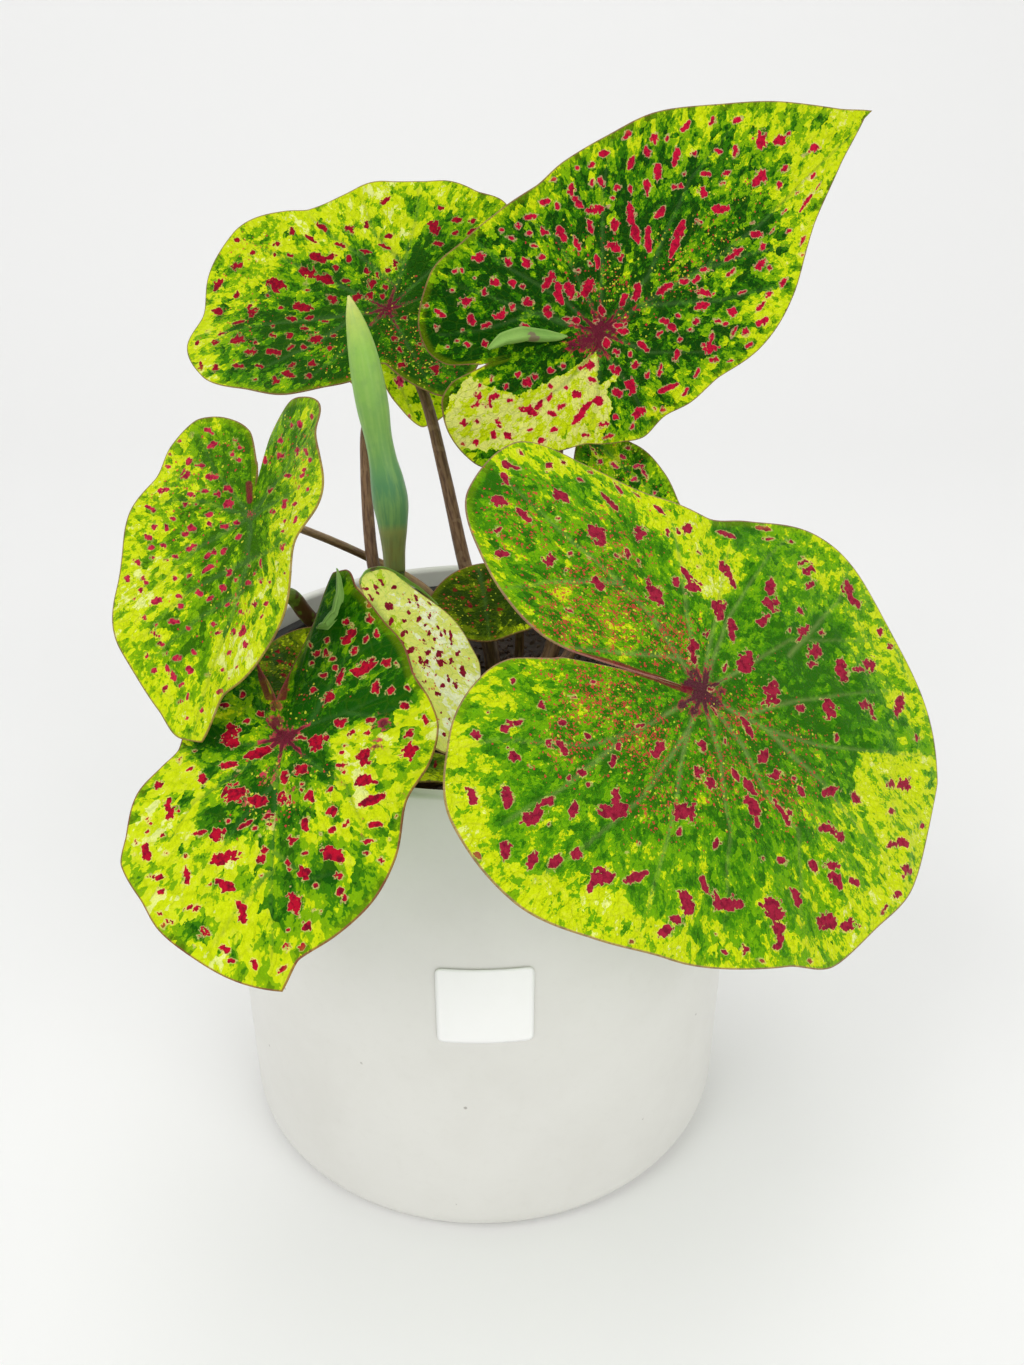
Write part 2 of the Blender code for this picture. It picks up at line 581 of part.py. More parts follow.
def smooth_path(points, per_span):
    """Return points on a Catmull-Rom curve through the given ones."""
    full = [points[0] * 2.0 - points[1]] + list(points) + [points[-1] * 2.0 - points[-2]]
    path = []
    for a, b, c, d in zip(full, full[1:], full[2:], full[3:]):
        for step in range(per_span):
            t = step / per_span
            path.append(0.5 * ((2.0 * b) + (c - a) * t + (2.0 * a - 5.0 * b + 4.0 * c - d) * t * t
                               + (3.0 * b - a - 3.0 * c + d) * t ** 3))
    path.append(points[-1])
    return path


def tube(name, path, radii, group, colour):
    """Sweep a round tube along a path, with its own radius at each point."""
    data = bpy.data.curves.new(name, "CURVE")
    data.dimensions = "3D"
    data.bevel_depth = MM
    data.bevel_resolution = STALK_BEVEL_RESOLUTION
    data.use_fill_caps = True
    spline = data.splines.new("POLY")
    spline.points.add(len(path) - 1)
    for point, place, radius in zip(spline.points, path, radii):
        point.co = (*(place * MM), 1.0)
        point.radius = radius
    return add_object(name, data, group, colour)


def stalk_foot(base, radius):
    """Return the foot of a stalk, just clear of the tuber that it grows from."""
    inner = max(0.0, math.hypot(*base) - radius)
    return Vector((*base, tuber_surface(inner) + 2.0 * CONTACT_GAP))


def stalk_path(base, radius, route):
    """Return the stalk's centre line: straight up out of the soil, then along its route."""
    foot = stalk_foot(base, radius)
    rise = SOIL_EDGE_TOP + SOIL_MOUND + STALK_STRAIGHT
    straight = [foot, Vector((*base, rise))]
    curved = smooth_path([Vector((*base, rise))] + [Vector(point) for point in route],
                         STALK_POINTS_PER_SPAN)
    return straight + curved[1:]


def taper(path, radii):
    """Return a radius for each point, which tapers evenly along the path."""
    lengths = [0.0]
    for first, second in zip(path, path[1:]):
        lengths.append(lengths[-1] + (second - first).length)
    return [radii[0] + (radii[1] - radii[0]) * length / lengths[-1] for length in lengths]


def build_stalk(leaf, group):
    """Sweep the leaf's stalk from the tuber to the underside of its blade."""
    _, _, up_axis = leaf_axes(leaf)
    junction = Vector(leaf.junction)
    end = junction - up_axis * (BLADE_THICKNESS + CONTACT_GAP)
    seat = junction - up_axis * STALK_SEAT
    path = stalk_path(leaf.base, leaf.radii[0], leaf.route + (tuple(seat),))
    path.append(end)
    return tube(leaf.name + "_stalk", path, taper(path, leaf.radii), group, leaf.stalk_colour)


def build_bud(group):
    """Build the flower bud, the rolled hood, and its stalk."""
    path = smooth_path([Vector(point) for point in BUD_SPINE], BUD_POINTS_PER_SPAN)
    tube("flower_bud", path, BUD_RADII, group, "bud_green")
    toward = (path[1] - path[0]).normalized()
    seat = path[0] - toward * STALK_SEAT
    stalk = stalk_path(BUD_STALK_BASE, BUD_STALK_RADII[0], BUD_STALK_PATH + (tuple(seat),))
    stalk.append(path[0] - toward * CONTACT_GAP)
    tube("flower_stalk", stalk, taper(stalk, BUD_STALK_RADII), group, "stalk_green")


def main():
    """Build the pots, the soil, the tuber, the leaves and the flower bud."""
    clear_scene()
    parts = make_collection("caladium")
    cutters = make_collection("cutters")
    build_cover_pot(parts)
    build_nursery_pot(parts, cutters)
    holes = [(leaf.base, leaf.radii[0]) for leaf in LEAVES]
    holes.append((BUD_STALK_BASE, BUD_STALK_RADII[0]))
    build_soil(parts, cutters, holes)
    ellipsoid("tuber", 0.0, parts, "tuber_brown")
    build_label(parts)
    for leaf in LEAVES:
        build_blade(leaf, parts)
        build_stalk(leaf, parts)
    build_bud(parts)


main()
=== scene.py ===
"""Dresses the caladium in its pot: eleven leaves and a flower bud over soil in two pots.

The markings of the large leaves are given in pixels of a 1024 x 1365 picture
taken by this scene's own camera, and are then fixed to the blades. Sizes are millimetres.
"""
import logging
import math
from dataclasses import dataclass, field
from enum import Enum
from typing import Optional, Sequence, Union

import bpy
import numpy as np
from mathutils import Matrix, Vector
from mathutils.noise import fractal, noise


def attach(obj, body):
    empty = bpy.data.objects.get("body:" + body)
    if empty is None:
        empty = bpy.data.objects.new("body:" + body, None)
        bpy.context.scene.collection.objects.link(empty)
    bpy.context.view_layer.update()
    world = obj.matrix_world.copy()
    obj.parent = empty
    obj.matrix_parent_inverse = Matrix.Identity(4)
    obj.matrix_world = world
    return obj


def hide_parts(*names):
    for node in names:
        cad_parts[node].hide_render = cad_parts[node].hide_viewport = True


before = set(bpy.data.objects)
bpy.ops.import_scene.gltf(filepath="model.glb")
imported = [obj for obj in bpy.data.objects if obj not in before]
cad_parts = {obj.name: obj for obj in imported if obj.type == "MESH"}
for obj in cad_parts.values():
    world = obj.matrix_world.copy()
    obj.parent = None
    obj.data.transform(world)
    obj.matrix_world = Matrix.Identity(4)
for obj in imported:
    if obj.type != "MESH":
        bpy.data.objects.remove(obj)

LOG = logging.getLogger("caladium")
MM = 0.001
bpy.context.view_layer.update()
Spot = tuple[float, float, float, float, float]
Blob = tuple[float, float, float, float]
Line = tuple[tuple[float, float], ...]
Value = Union[float, bpy.types.NodeSocket]


class Slot(Enum):
    """The record's material slots that the pieces take their finish from."""

    POT_WHITE = "pot_white"
    SOIL = "soil"
    LABEL = "label_paper"
    GREEN = "leaf_green"
    LIME = "leaf_lime"
    CREAM = "leaf_cream"
    OLIVE = "leaf_olive"
    BROWN_STALK = "stalk_brown"
    GREEN_STALK = "stalk_green"
    BUD = "bud_green"


@dataclass(frozen=True)
class Picture:
    """The camera, and the picture it takes."""

    place: tuple[float, float, float] = (8.2, -286.0, 268.0)
    pitch: float = 26.16
    focal_px: float = 1200.0
    width: float = 1024.0
    height: float = 1365.0

    def pixels(self, points: np.ndarray) -> np.ndarray:
        """Return where points show in the picture.

        Args:
            points: places in millimetres, with x, y and z last.

        Returns:
            The pixels, with x to the right and y down, last.
        """
        pitch = math.radians(self.pitch)
        ahead = np.array([0.0, math.cos(pitch), -math.sin(pitch)])
        up = np.array([0.0, math.sin(pitch), math.cos(pitch)])
        away = points - np.array(self.place)
        depth = away @ ahead
        across = self.width / 2 + self.focal_px * away[..., 0] / depth
        down = self.height / 2 - self.focal_px * (away @ up) / depth
        return np.stack([across, down], axis=-1)

    def build(self) -> None:
        """Make the camera."""
        data = bpy.data.cameras.new("camera")
        data.sensor_fit = "VERTICAL"
        data.sensor_height = 36.0
        data.lens = 36.0 * self.focal_px / self.height
        data.clip_start = 0.01
        camera = bpy.data.objects.new("camera", data)
        camera.location = [value * MM for value in self.place]
        camera.rotation_euler = (math.radians(90.0 - self.pitch), 0.0, 0.0)
        bpy.context.scene.collection.objects.link(camera)
        bpy.context.scene.camera = camera


PICTURE = Picture()


@dataclass(frozen=True)
class Curl:
    """A stretch of margin that rolls up and shows the blade's underside.

    The line is (bearing, reach) pairs along the margin, with the blade on its right.
    """

    line: tuple[tuple[float, float], ...]
    width: float
    turn: float


@dataclass(frozen=True)
class Leaf:
    """One leaf's place and outline, and the route of its stalk, close to the frame's own.

    facing, lean and roll turn the blade. The outline is (bearing, reach) pairs from the
    tip round to the notch, and rays and rings are the fineness of its mesh. curls are rolled
    margins, which only this script has, and pucker is how far the face swells, in millimetres.
    """

    name: str
    junction: tuple[float, float, float]
    facing: float
    lean: float
    roll: float
    left: tuple[tuple[float, float], ...]
    right: tuple[tuple[float, float], ...]
    fold: float
    tip_droop: float
    side_droop: float
    lobe_droop: float
    twist: float
    wave: float
    wave_count: float
    base: tuple[float, float]
    route: tuple[tuple[float, float, float], ...]
    radii: tuple[float, float]
    blade_slot: Slot
    stalk_slot: Slot
    rays: int = 220
    rings: int = 40
    curls: tuple[Curl, ...] = ()
    pucker: float = 0.5


LEAVES = (
    Leaf("leaf_top_right", (32.0, 47.6, 209.9), 22.0, 12.0, 30.8,
         left=((0, 110), (4, 99), (12, 85), (25, 69), (40, 58), (55, 49), (70, 44), (85, 41), (100, 42),
               (115, 45), (130, 51), (142, 52), (150, 50), (156, 45), (159, 36)),
         right=((0, 107), (4, 92), (12, 75), (25, 62), (40, 50), (55, 38), (70, 33), (85, 30), (100, 31),
                (115, 30), (130, 30), (147, 34), (156, 41), (172, 50), (184, 51), (193, 49.5), (198, 45),
                (201, 34)),
         fold=0.10, tip_droop=0.10, side_droop=0.10, lobe_droop=0.10, twist=0.0, wave=1.0, wave_count=9,
         base=(12.0, 8.0), route=((19.0, 13.0, 131.0), (22.5, 31.0, 154.0), (21.0, 47.5, 179.0)),
         radii=(2.4, 1.6), blade_slot=Slot.GREEN, stalk_slot=Slot.BROWN_STALK, rays=520, rings=120,
         curls=(Curl(((151, 10), (147, 16), (145, 23), (148, 29), (153, 33)), 7.0, 150),)),
    Leaf("leaf_top_left", (-29.7, 84.6, 210.4), -8.0, 42.0, 178.6,
         left=((0, 60), (12, 63), (25, 59), (40, 48), (55, 42), (70, 32), (85, 26), (100, 22), (110, 27),
               (119, 33), (128, 39), (138, 39), (150, 37), (160, 31), (168, 23), (175, 14)),
         right=((0, 60), (12, 62), (25, 58), (40, 46), (48, 41), (60, 39), (70, 38), (85, 38), (100, 40),
                (111, 42), (124, 43), (136, 47), (148, 45), (160, 37), (172, 24)),
         fold=0.25, tip_droop=0.45, side_droop=0.05, lobe_droop=0.0, twist=0.0, wave=1.2, wave_count=8,
         base=(3.0, 14.0), route=((1.5, 20.0, 131.0), (-5.2, 38.0, 146.0), (-12.0, 60.0, 168.0),
                                  (-18.5, 77.0, 187.0)),
         radii=(2.3, 1.5), blade_slot=Slot.LIME, stalk_slot=Slot.BROWN_STALK, rays=440, rings=92),
    Leaf("leaf_left", (-49.0, -34.7, 185.3), -48.0, 38.0, -69.5,
         left=((0, 51), (9, 42), (19, 41), (34, 37), (47, 34), (68, 28), (84, 30), (105, 28), (121, 27),
               (146, 29), (159, 28), (168, 27), (175, 25), (184, 20), (191, 9)),
         right=((0, 51), (7, 51), (16, 47), (30, 42), (40, 40), (54, 37), (63, 35), (76, 33), (87, 32),
                (106, 31), (122, 34), (136, 33), (143, 31), (151, 28), (160, 23), (166, 14)),
         fold=0.30, tip_droop=0.25, side_droop=0.05, lobe_droop=0.1, twist=-0.3, wave=1.0, wave_count=7,
         base=(-3.0, 16.0), route=((-7.0, 22.0, 131.0), (-16.4, 31.0, 141.6), (-33.2, 37.7, 149.0),
                                   (-45.0, 6.0, 168.0), (-46.0, -16.0, 176.0)),
         radii=(1.5, 0.9), blade_slot=Slot.LIME, stalk_slot=Slot.BROWN_STALK, rays=400, rings=84),
    Leaf("leaf_front_left", (-39.5, -66.6, 147.6), -35.0, 52.0, -56.4,
         left=((0, 54), (5, 49), (14, 48), (24, 46), (36, 42), (52, 37), (63, 38), (76, 37), (85, 35),
               (99, 32), (125, 32), (148, 36), (158, 41), (163, 41), (167, 28), (173, 20), (183, 12),
               (190, 9)),
         right=((0, 54), (12, 51), (23, 48), (32, 46), (44, 43), (58, 42), (66, 38), (78, 33), (87, 28),
                (98, 25), (112, 25), (125, 26), (140, 30), (152, 32), (160, 28), (163, 18)),
         fold=0.12, tip_droop=0.15, side_droop=0.10, lobe_droop=0.0, twist=-0.15, wave=1.0, wave_count=8,
         base=(-14.0, -3.0), route=((-21.0, -4.0, 130.5), (-40.8, -7.6, 147.4), (-46.2, -15.0, 158.5),
                                    (-51.0, -32.0, 160.5), (-51.0, -47.0, 150.0), (-45.0, -58.0, 142.5)),
         radii=(2.3, 1.6), blade_slot=Slot.LIME, stalk_slot=Slot.GREEN_STALK, rays=440, rings=92,
         curls=(Curl(((162, 26), (155, 26), (151, 29), (154, 34), (161, 41)), 4.5, 190),)),
    Leaf("leaf_front_right", (48.8, -58.0, 153.8), 41.0, 44.0, -32.5,
         left=((0, 81), (12, 79), (25, 77), (40, 73), (55, 66), (70, 55), (85, 47), (100, 50), (115, 59),
               (130, 69), (145, 66), (158, 56), (168, 48), (174, 41), (177, 34), (178.6, 11)),
         right=((0, 81), (12, 77), (25, 72), (40, 66), (55, 64), (70, 59), (85, 58), (100, 59), (115, 63),
                (130, 68), (145, 70), (158, 63), (170, 53), (176, 46), (179.5, 35)),
         fold=0.0, tip_droop=0.38, side_droop=0.17, lobe_droop=0.17, twist=0.25, wave=1.1, wave_count=9,
         base=(8.0, -4.0), route=((10.0, -7.0, 131.0), (24.0, -24.0, 141.5), (38.0, -43.0, 146.5)),
         radii=(2.4, 1.8), blade_slot=Slot.GREEN, stalk_slot=Slot.GREEN_STALK, rays=560, rings=112,
         pucker=0.9),
    Leaf("leaf_cream", (-25.5, -13.9, 152.8), 72.0, 42.0, -113.7,
         left=((0, 39), (13, 38), (29, 37), (46, 35), (58, 34), (67, 31), (83, 27), (99, 23), (114, 20),
               (132, 18), (151, 15), (170, 11), (185, 6)),
         right=((0, 39), (12, 34), (25, 30), (40, 26), (55, 22), (70, 17), (85, 13), (100, 12), (120, 12),
                (140, 12), (158, 10)),
         fold=0.10, tip_droop=0.0, side_droop=0.0, lobe_droop=0.0, twist=0.0, wave=0.6, wave_count=6,
         base=(-7.0, -7.0), route=((-12.0, -9.0, 129.0), (-21.0, -12.5, 139.0)),
         radii=(1.8, 1.2), blade_slot=Slot.CREAM, stalk_slot=Slot.GREEN_STALK, rays=280, rings=64,
         curls=(Curl(((178, 9), (160, 13), (140, 16.5), (114, 19.5), (92, 24.5)), 1.6, 150),)),
    Leaf("leaf_inner_back", (10.9, 15.3, 144.3), 10.0, 62.0, 175.8,
         left=((0, 26), (25, 23), (50, 18), (75, 12), (100, 10), (130, 8), (150, 7), (170, 5), (180, 3)),
         right=((0, 26), (25, 22), (50, 17), (75, 13), (100, 10), (130, 8), (155, 7), (170, 5)),
         fold=0.1, tip_droop=0.2, side_droop=0.1, lobe_droop=0.0, twist=0.0, wave=0.4, wave_count=5,
         base=(9.5, 14.5), route=((10.2, 17.0, 129.0),),
         radii=(1.6, 1.1), blade_slot=Slot.OLIVE, stalk_slot=Slot.BROWN_STALK, rays=220, rings=36),
    Leaf("leaf_back", (-33.7, 93.1, 196.0), 0.0, 35.0, 86.2,
         left=((0, 30), (25, 24), (50, 18), (75, 15), (100, 13), (130, 13), (148, 13), (165, 9), (180, 5)),
         right=((0, 30), (25, 26), (50, 24), (75, 24), (100, 26), (115, 27), (130, 30), (145, 29), (156, 18),
                (168, 8)),
         fold=0.1, tip_droop=0.2, side_droop=0.1, lobe_droop=0.0, twist=0.0, wave=0.6, wave_count=6,
         base=(-13.0, 5.5), route=((-17.5, 11.5, 131.0), (-26.5, 23.0, 143.0), (-30.7, 28.5, 153.0),
                                   (-35.3, 64.2, 175.0), (-35.0, 82.0, 180.5), (-34.5, 94.0, 186.0)),
         radii=(2.1, 1.3), blade_slot=Slot.LIME, stalk_slot=Slot.BROWN_STALK, rays=240, rings=44),
    Leaf("leaf_back_right", (43.9, 32.2, 156.0), 15.0, 40.0, 110.9,
         left=((0, 34), (12, 28), (25, 23), (45, 18), (70, 16), (95, 14), (120, 13), (145, 11), (165, 8),
               (180, 5)),
         right=((0, 34), (15, 33), (30, 29), (50, 22), (75, 17), (100, 15), (125, 14), (150, 12), (168, 9)),
         fold=0.1, tip_droop=0.2, side_droop=0.1, lobe_droop=0.0, twist=0.0, wave=0.6, wave_count=6,
         base=(15.0, -2.0), route=((21.0, 4.0, 130.0), (33.0, 22.0, 141.0)),
         radii=(1.9, 1.2), blade_slot=Slot.GREEN, stalk_slot=Slot.BROWN_STALK, rays=240, rings=44),
    Leaf("leaf_under_left", (-35.0, -30.6, 141.6), -20.0, 62.0, 178.7,
         left=((0, 26), (12, 21), (25, 17), (45, 13), (75, 11), (100, 10), (130, 11), (150, 10), (168, 7),
               (180, 4)),
         right=((0, 26), (15, 24), (40, 21), (60, 18), (85, 14), (110, 11), (135, 10), (158, 8), (170, 6)),
         fold=0.1, tip_droop=0.1, side_droop=0.1, lobe_droop=0.0, twist=0.0, wave=0.4, wave_count=5,
         base=(-11.0, -11.0), route=((-16.0, -15.0, 127.5), (-27.0, -23.0, 132.5)),
         radii=(1.6, 1.1), blade_slot=Slot.OLIVE, stalk_slot=Slot.BROWN_STALK, rays=220, rings=40),
    Leaf("leaf_under_front", (-13.5, -52.5, 133.2), 5.0, 80.0, -19.1,
         left=((0, 12), (20, 10), (40, 7), (70, 5), (100, 4), (130, 5), (155, 6), (170, 5), (180, 3)),
         right=((0, 12), (20, 11), (40, 8), (70, 7), (100, 7), (130, 7), (155, 7), (170, 4)),
         fold=0.1, tip_droop=0.2, side_droop=0.1, lobe_droop=0.0, twist=0.0, wave=0.2, wave_count=5,
         base=(5.0, -12.0), route=((6.0, -20.0, 127.0), (3.0, -38.0, 127.5), (-6.0, -49.0, 127.0)),
         radii=(1.5, 0.9), blade_slot=Slot.OLIVE, stalk_slot=Slot.BROWN_STALK, rays=140, rings=24),
)


@dataclass(frozen=True)
class Markings:
    """What one blade shows, placed in pixels of the picture.

    Spots are (x, y, length, width, angle). Tones, blushes and specks are soft blobs of
    (x, y, radius, strength). zone is a sharp-edged area with its own tone, and arms is how
    strongly the veins are flushed near the junction.
    """

    spots: tuple[Spot, ...] = ()
    tones: tuple[Blob, ...] = ((0.0, 0.0, 1.0, 0.5),)
    blushes: tuple[Blob, ...] = ()
    specks: tuple[Blob, ...] = ()
    veins: tuple[Line, ...] = ()
    zone: Line = ()
    bands: tuple[Line, ...] = ()
    arms: float = 0.0


MARKINGS = {
    "leaf_top_right": Markings(
        arms=1.2,
        spots=(
            (627,135,11,5,-50), (604,153,12,5,-10), (591,166,7,6,-45), (577,168,4,4,0), (632,162,14,6,-70),
            (553,180,8,3,-20), (571,190,14,6,90), (577,201,16,6,50), (592,183,8,4,-60), (601,182,9,6,80),
            (617,187,7,5,-60), (631,189,10,5,90), (545,202,11,6,-10), (557,206,9,5,80), (532,216,15,5,-15),
            (518,226,6,5,0), (595,210,18,9,-15), (590,226,16,6,70), (613,198,4,3,0), (608,206,4,3,0),
            (614,226,9,8,90), (631,215,24,9,85), (636,234,20,9,75), (502,230,6,3,20), (511,238,12,4,25),
            (529,234,5,4,0), (545,233,8,8,0), (562,234,19,7,60), (577,243,15,5,70), (534,246,8,3,5),
            (480,257,13,8,0), (508,261,10,7,50), (527,263,12,7,45), (541,257,6,5,0), (597,261,14,5,80),
            (615,248,14,11,0), (621,258,8,6,90), (578,270,5,4,0), (590,264,4,3,0), (455,271,5,3,0),
            (462,270,6,3,60), (475,278,4,3,0), (497,282,11,10,0), (513,282,9,7,0), (522,287,6,5,0),
            (485,292,8,5,70), (549,280,20,8,-60), (560,294,20,9,80), (569,290,17,9,70), (587,289,22,12,-65),
            (452,290,5,3,0), (466,302,14,9,-25), (528,303,11,8,20), (426,306,5,5,0), (440,313,11,6,25),
            (501,314,13,9,-30), (512,308,6,5,90), (547,308,8,5,-30), (550,315,6,6,0), (472,319,10,7,60),
            (487,325,12,5,-20), (437,328,5,5,0), (463,330,3,3,0), (567,319,8,3,0), (577,321,10,6,0),
            (602,311,11,6,85), (597,321,6,4,0), (623,300,16,7,-65), (637,291,20,7,-75), (525,326,8,5,0),
            (467,344,7,4,0), (485,344,8,5,-30), (447,347,4,3,0), (457,341,5,2,0), (686,126,14,6,-50),
            (712,121,12,6,-65), (737,120,9,6,-20), (655,139,12,6,90), (668,137,7,3,-70), (647,151,13,6,80),
            (676,156,21,8,-78), (694,153,7,5,-20), (719,151,7,5,45), (735,151,13,5,-80), (761,140,18,12,85),
            (780,141,12,9,-10), (787,135,12,3,-45), (814,148,12,6,-40), (804,155,3,2,0), (658,171,18,8,85),
            (706,174,9,5,-10), (727,173,9,5,-15), (684,174,3,3,0), (759,178,20,9,-55), (783,169,9,5,-30),
            (647,187,17,6,88), (674,187,6,5,0), (680,186,5,5,0), (704,192,10,8,60), (722,183,5,4,0),
            (779,186,7,5,90), (660,213,14,6,-60), (720,209,17,9,-5), (677,238,42,8,-72), (649,240,26,8,85),
            (699,221,5,4,0), (753,223,4,3,0), (757,234,14,6,5), (806,203,22,4,-55), (818,186,10,2,-55),
            (812,176,8,3,-50), (797,193,6,2,-40), (784,212,8,2,-50), (773,230,9,2,-55), (789,231,7,3,-30),
            (803,240,12,4,-65), (803,254,5,4,0), (764,246,10,6,-40), (735,254,24,6,-35), (761,264,14,7,-45),
            (770,268,5,4,0), (706,270,10,4,5), (731,272,12,4,-40), (685,281,8,5,0), (697,279,8,5,-45),
            (665,288,20,8,-35), (705,292,15,8,10), (784,282,12,5,-60), (742,292,7,3,-20), (769,295,10,5,-55),
            (702,306,17,6,-20), (732,312,8,8,0), (760,307,13,4,-45), (664,322,8,6,30), (671,328,12,7,30),
            (678,316,5,3,0), (697,321,8,5,-50), (718,322,6,5,0), (726,324,7,4,0), (761,322,13,6,-40),
            (659,334,9,4,-40), (691,329,5,3,0), (734,332,11,4,-65), (745,332,6,6,0), (680,339,5,4,0),
            (710,347,14,12,0), (712,337,8,4,90), (643,345,11,6,30), (647,349,6,5,0), (749,345,9,4,-20),
            (677,355,13,7,-60), (714,359,9,6,0), (730,361,9,2,-10), (606,343,10,6,80), (616,352,8,6,0),
            (630,354,6,3,-60), (621,325,12,5,-10), (624,331,12,5,10), (635,365,8,7,0), (612,368,6,6,0),
            (617,372,8,6,90), (590,366,8,7,90), (581,368,7,5,0), (550,370,8,5,0), (562,366,6,4,0),
            (648,375,10,5,-70), (660,370,12,4,-75), (697,373,9,4,-60), (631,386,16,11,70), (617,393,11,7,0),
            (668,388,24,6,-22), (685,392,9,3,-55), (593,380,8,6,0), (577,394,10,7,10), (567,388,4,3,0),
            (550,386,5,4,0), (600,400,10,8,90), (550,398,9,4,-60), (506,387,7,6,-50), (527,382,10,8,-30),
            (534,377,7,6,0), (518,375,5,5,0), (494,396,9,8,0), (478,397,7,6,0), (480,385,4,3,90),
            (492,379,6,3,90), (528,410,20,9,15), (538,406,14,5,-50), (562,406,8,7,0), (552,414,8,7,0),
            (582,413,30,8,-50), (638,413,15,8,-35), (616,417,7,6,0), (604,425,8,6,0), (475,406,8,5,0),
            (488,405,8,6,0), (510,400,7,4,0), (464,423,7,6,90), (477,422,7,6,0), (498,424,9,7,90),
            (494,434,9,6,90), (508,435,9,8,0), (530,430,6,3,0), (553,430,7,6,0), (541,441,10,6,-25),
            (476,442,6,5,0), (463,444,5,4,0), (632,427,9,4,-60), (608,437,12,4,-15), (586,435,7,3,0),
            (655,410,5,3,90), (663,410,5,3,90)),
        tones=(
            (700,110,40,0.58), (790,110,40,0.6), (850,112,30,0.9), (640,120,25,0.5), (590,135,25,0.65),
            (560,160,25,0.6), (520,190,25,0.55), (480,225,25,0.5), (445,255,25,0.5), (425,285,22,0.4),
            (830,155,28,0.9), (808,200,26,0.9), (800,250,26,0.85), (785,300,26,0.7), (765,340,26,0.8),
            (745,370,24,0.75), (700,400,24,0.7), (660,425,24,0.65), (630,440,20,0.65), (450,320,35,0.12),
            (500,320,35,0.1), (540,320,28,0.15), (480,290,30,0.2), (540,270,30,0.25), (570,225,30,0.25),
            (600,190,26,0.35), (640,200,26,0.25), (650,160,24,0.35), (690,170,24,0.25), (720,160,20,0.4),
            (760,160,22,0.4), (690,230,30,0.2), (720,250,26,0.25), (740,210,26,0.3), (760,250,24,0.3),
            (700,300,28,0.2), (660,300,26,0.25), (720,330,26,0.25), (740,290,22,0.4), (620,260,26,0.25),
            (590,270,24,0.25), (600,330,20,0.2), (640,340,24,0.25), (680,350,26,0.25), (650,385,26,0.3),
            (620,400,18,0.1), (537,196,8,0.9), (547,240,10,0.8), (610,200,8,0.8), (730,186,8,0.9),
            (720,278,9,0.8), (560,180,12,0.4), (480,372,10,0.65), (530,372,12,0.25), (570,370,10,0.3)),
        blushes=((598,338,13,1.1), (585,342,12,1.1), (572,346,9,0.9), (602,322,8,0.9), (612,330,9,0.9),
                 (624,318,6,0.8),
                 (636,308,5,0.6), (650,302,6,0.4)),
        specks=((610,280,20,1.0), (605,240,14,0.6), (680,270,24,0.9), (660,240,14,0.5), (590,290,20,0.6),
                (720,240,24,0.5), (640,310,18,0.5), (570,250,22,0.45), (740,200,24,0.3)),
        veins=(((600,332), (603,255), (603,190), (612,140)), ((600,332), (590,300), (555,235), (520,215)),
               ((600,332), (650,275), (665,235), (690,180), (730,130)), ((600,332), (640,305), (700,270),
               (760,225), (820,165), (872,117)), ((640,305), (720,300), (780,285)), ((600,332), (598,400),
               (590,432)), ((600,332), (650,352), (720,352)), ((600,332), (560,322), (500,300), (445,280)),
               ((590,330), (540,312), (480,330), (440,335)), ((700,270), (745,255), (790,245)),
               ((600,345), (570,380), (520,420)), ((600,345), (632,390), (650,425)), ((600,332), (565,300),
                                                                                      (500,262), (470,235))),
        zone=((440,450), (448,400), (470,378), (515,396), (560,376), (597,350), (600,385), (622,370),
              (607,390), (612,408), (607,425), (602,450)),
    ),
    "leaf_top_left": Markings(
        arms=0.9,
        spots=(
            (237,240,4,4,0), (253,253,7,7,0), (237,266,12,6,0), (218,286,13,7,-70), (237,295,6,6,0),
            (218,311,11,6,-15), (277,245,8,5,0), (274,254,4,4,0), (290,256,5,4,0), (293,231,9,5,80),
            (322,227,12,5,30), (311,239,18,4,35), (349,229,11,6,50), (367,224,9,4,90), (385,201,12,6,-35),
            (340,245,10,5,20), (317,258,19,10,15), (331,257,11,6,-20), (308,272,19,11,20), (325,279,17,9,15),
            (349,259,6,5,0), (276,284,20,11,5), (253,312,9,8,0), (250,306,8,5,-40), (302,307,20,8,5),
            (336,268,7,5,40), (315,337,13,8,-20), (290,336,8,6,0), (238,340,16,9,0), (197,343,8,3,-60),
            (201,366,12,4,80), (216,368,6,6,0), (238,366,13,5,5), (251,352,11,6,0), (273,352,15,6,0),
            (259,365,8,4,10), (256,342,5,4,0), (254,379,4,4,0), (275,379,8,6,0), (288,374,15,5,15),
            (291,365,6,5,0), (309,376,5,5,0), (312,363,10,6,0), (238,322,13,4,-15), (291,318,9,4,0),
            (332,299,12,7,30), (356,297,9,8,-30), (369,295,7,5,-20), (385,287,6,4,45), (371,284,9,7,60),
            (388,270,6,4,0), (377,275,5,3,60), (367,271,6,5,40), (345,280,8,3,0), (306,283,4,4,0),
            (307,290,6,2,0), (268,296,4,3,0), (281,308,4,3,0), (325,321,8,3,0), (309,317,8,3,0),
            (273,326,5,3,0), (221,333,8,3,-20), (208,331,5,3,-20), (273,336,6,3,0), (333,335,6,3,-10),
            (329,347,5,5,0), (303,346,6,3,0), (290,348,8,4,-40), (305,328,8,4,0), (215,342,8,4,0),
            (372,283,7,6,0), (382,296,4,4,0), (365,251,12,3,10), (384,246,12,4,20), (390,236,7,5,0),
            (395,264,8,5,60), (434,228,11,11,0), (457,220,14,5,-15), (473,220,8,5,0), (441,208,5,5,0),
            (428,178,4,4,0), (438,244,8,5,0), (455,233,6,4,0), (445,263,10,3,-20), (473,231,14,3,-30),
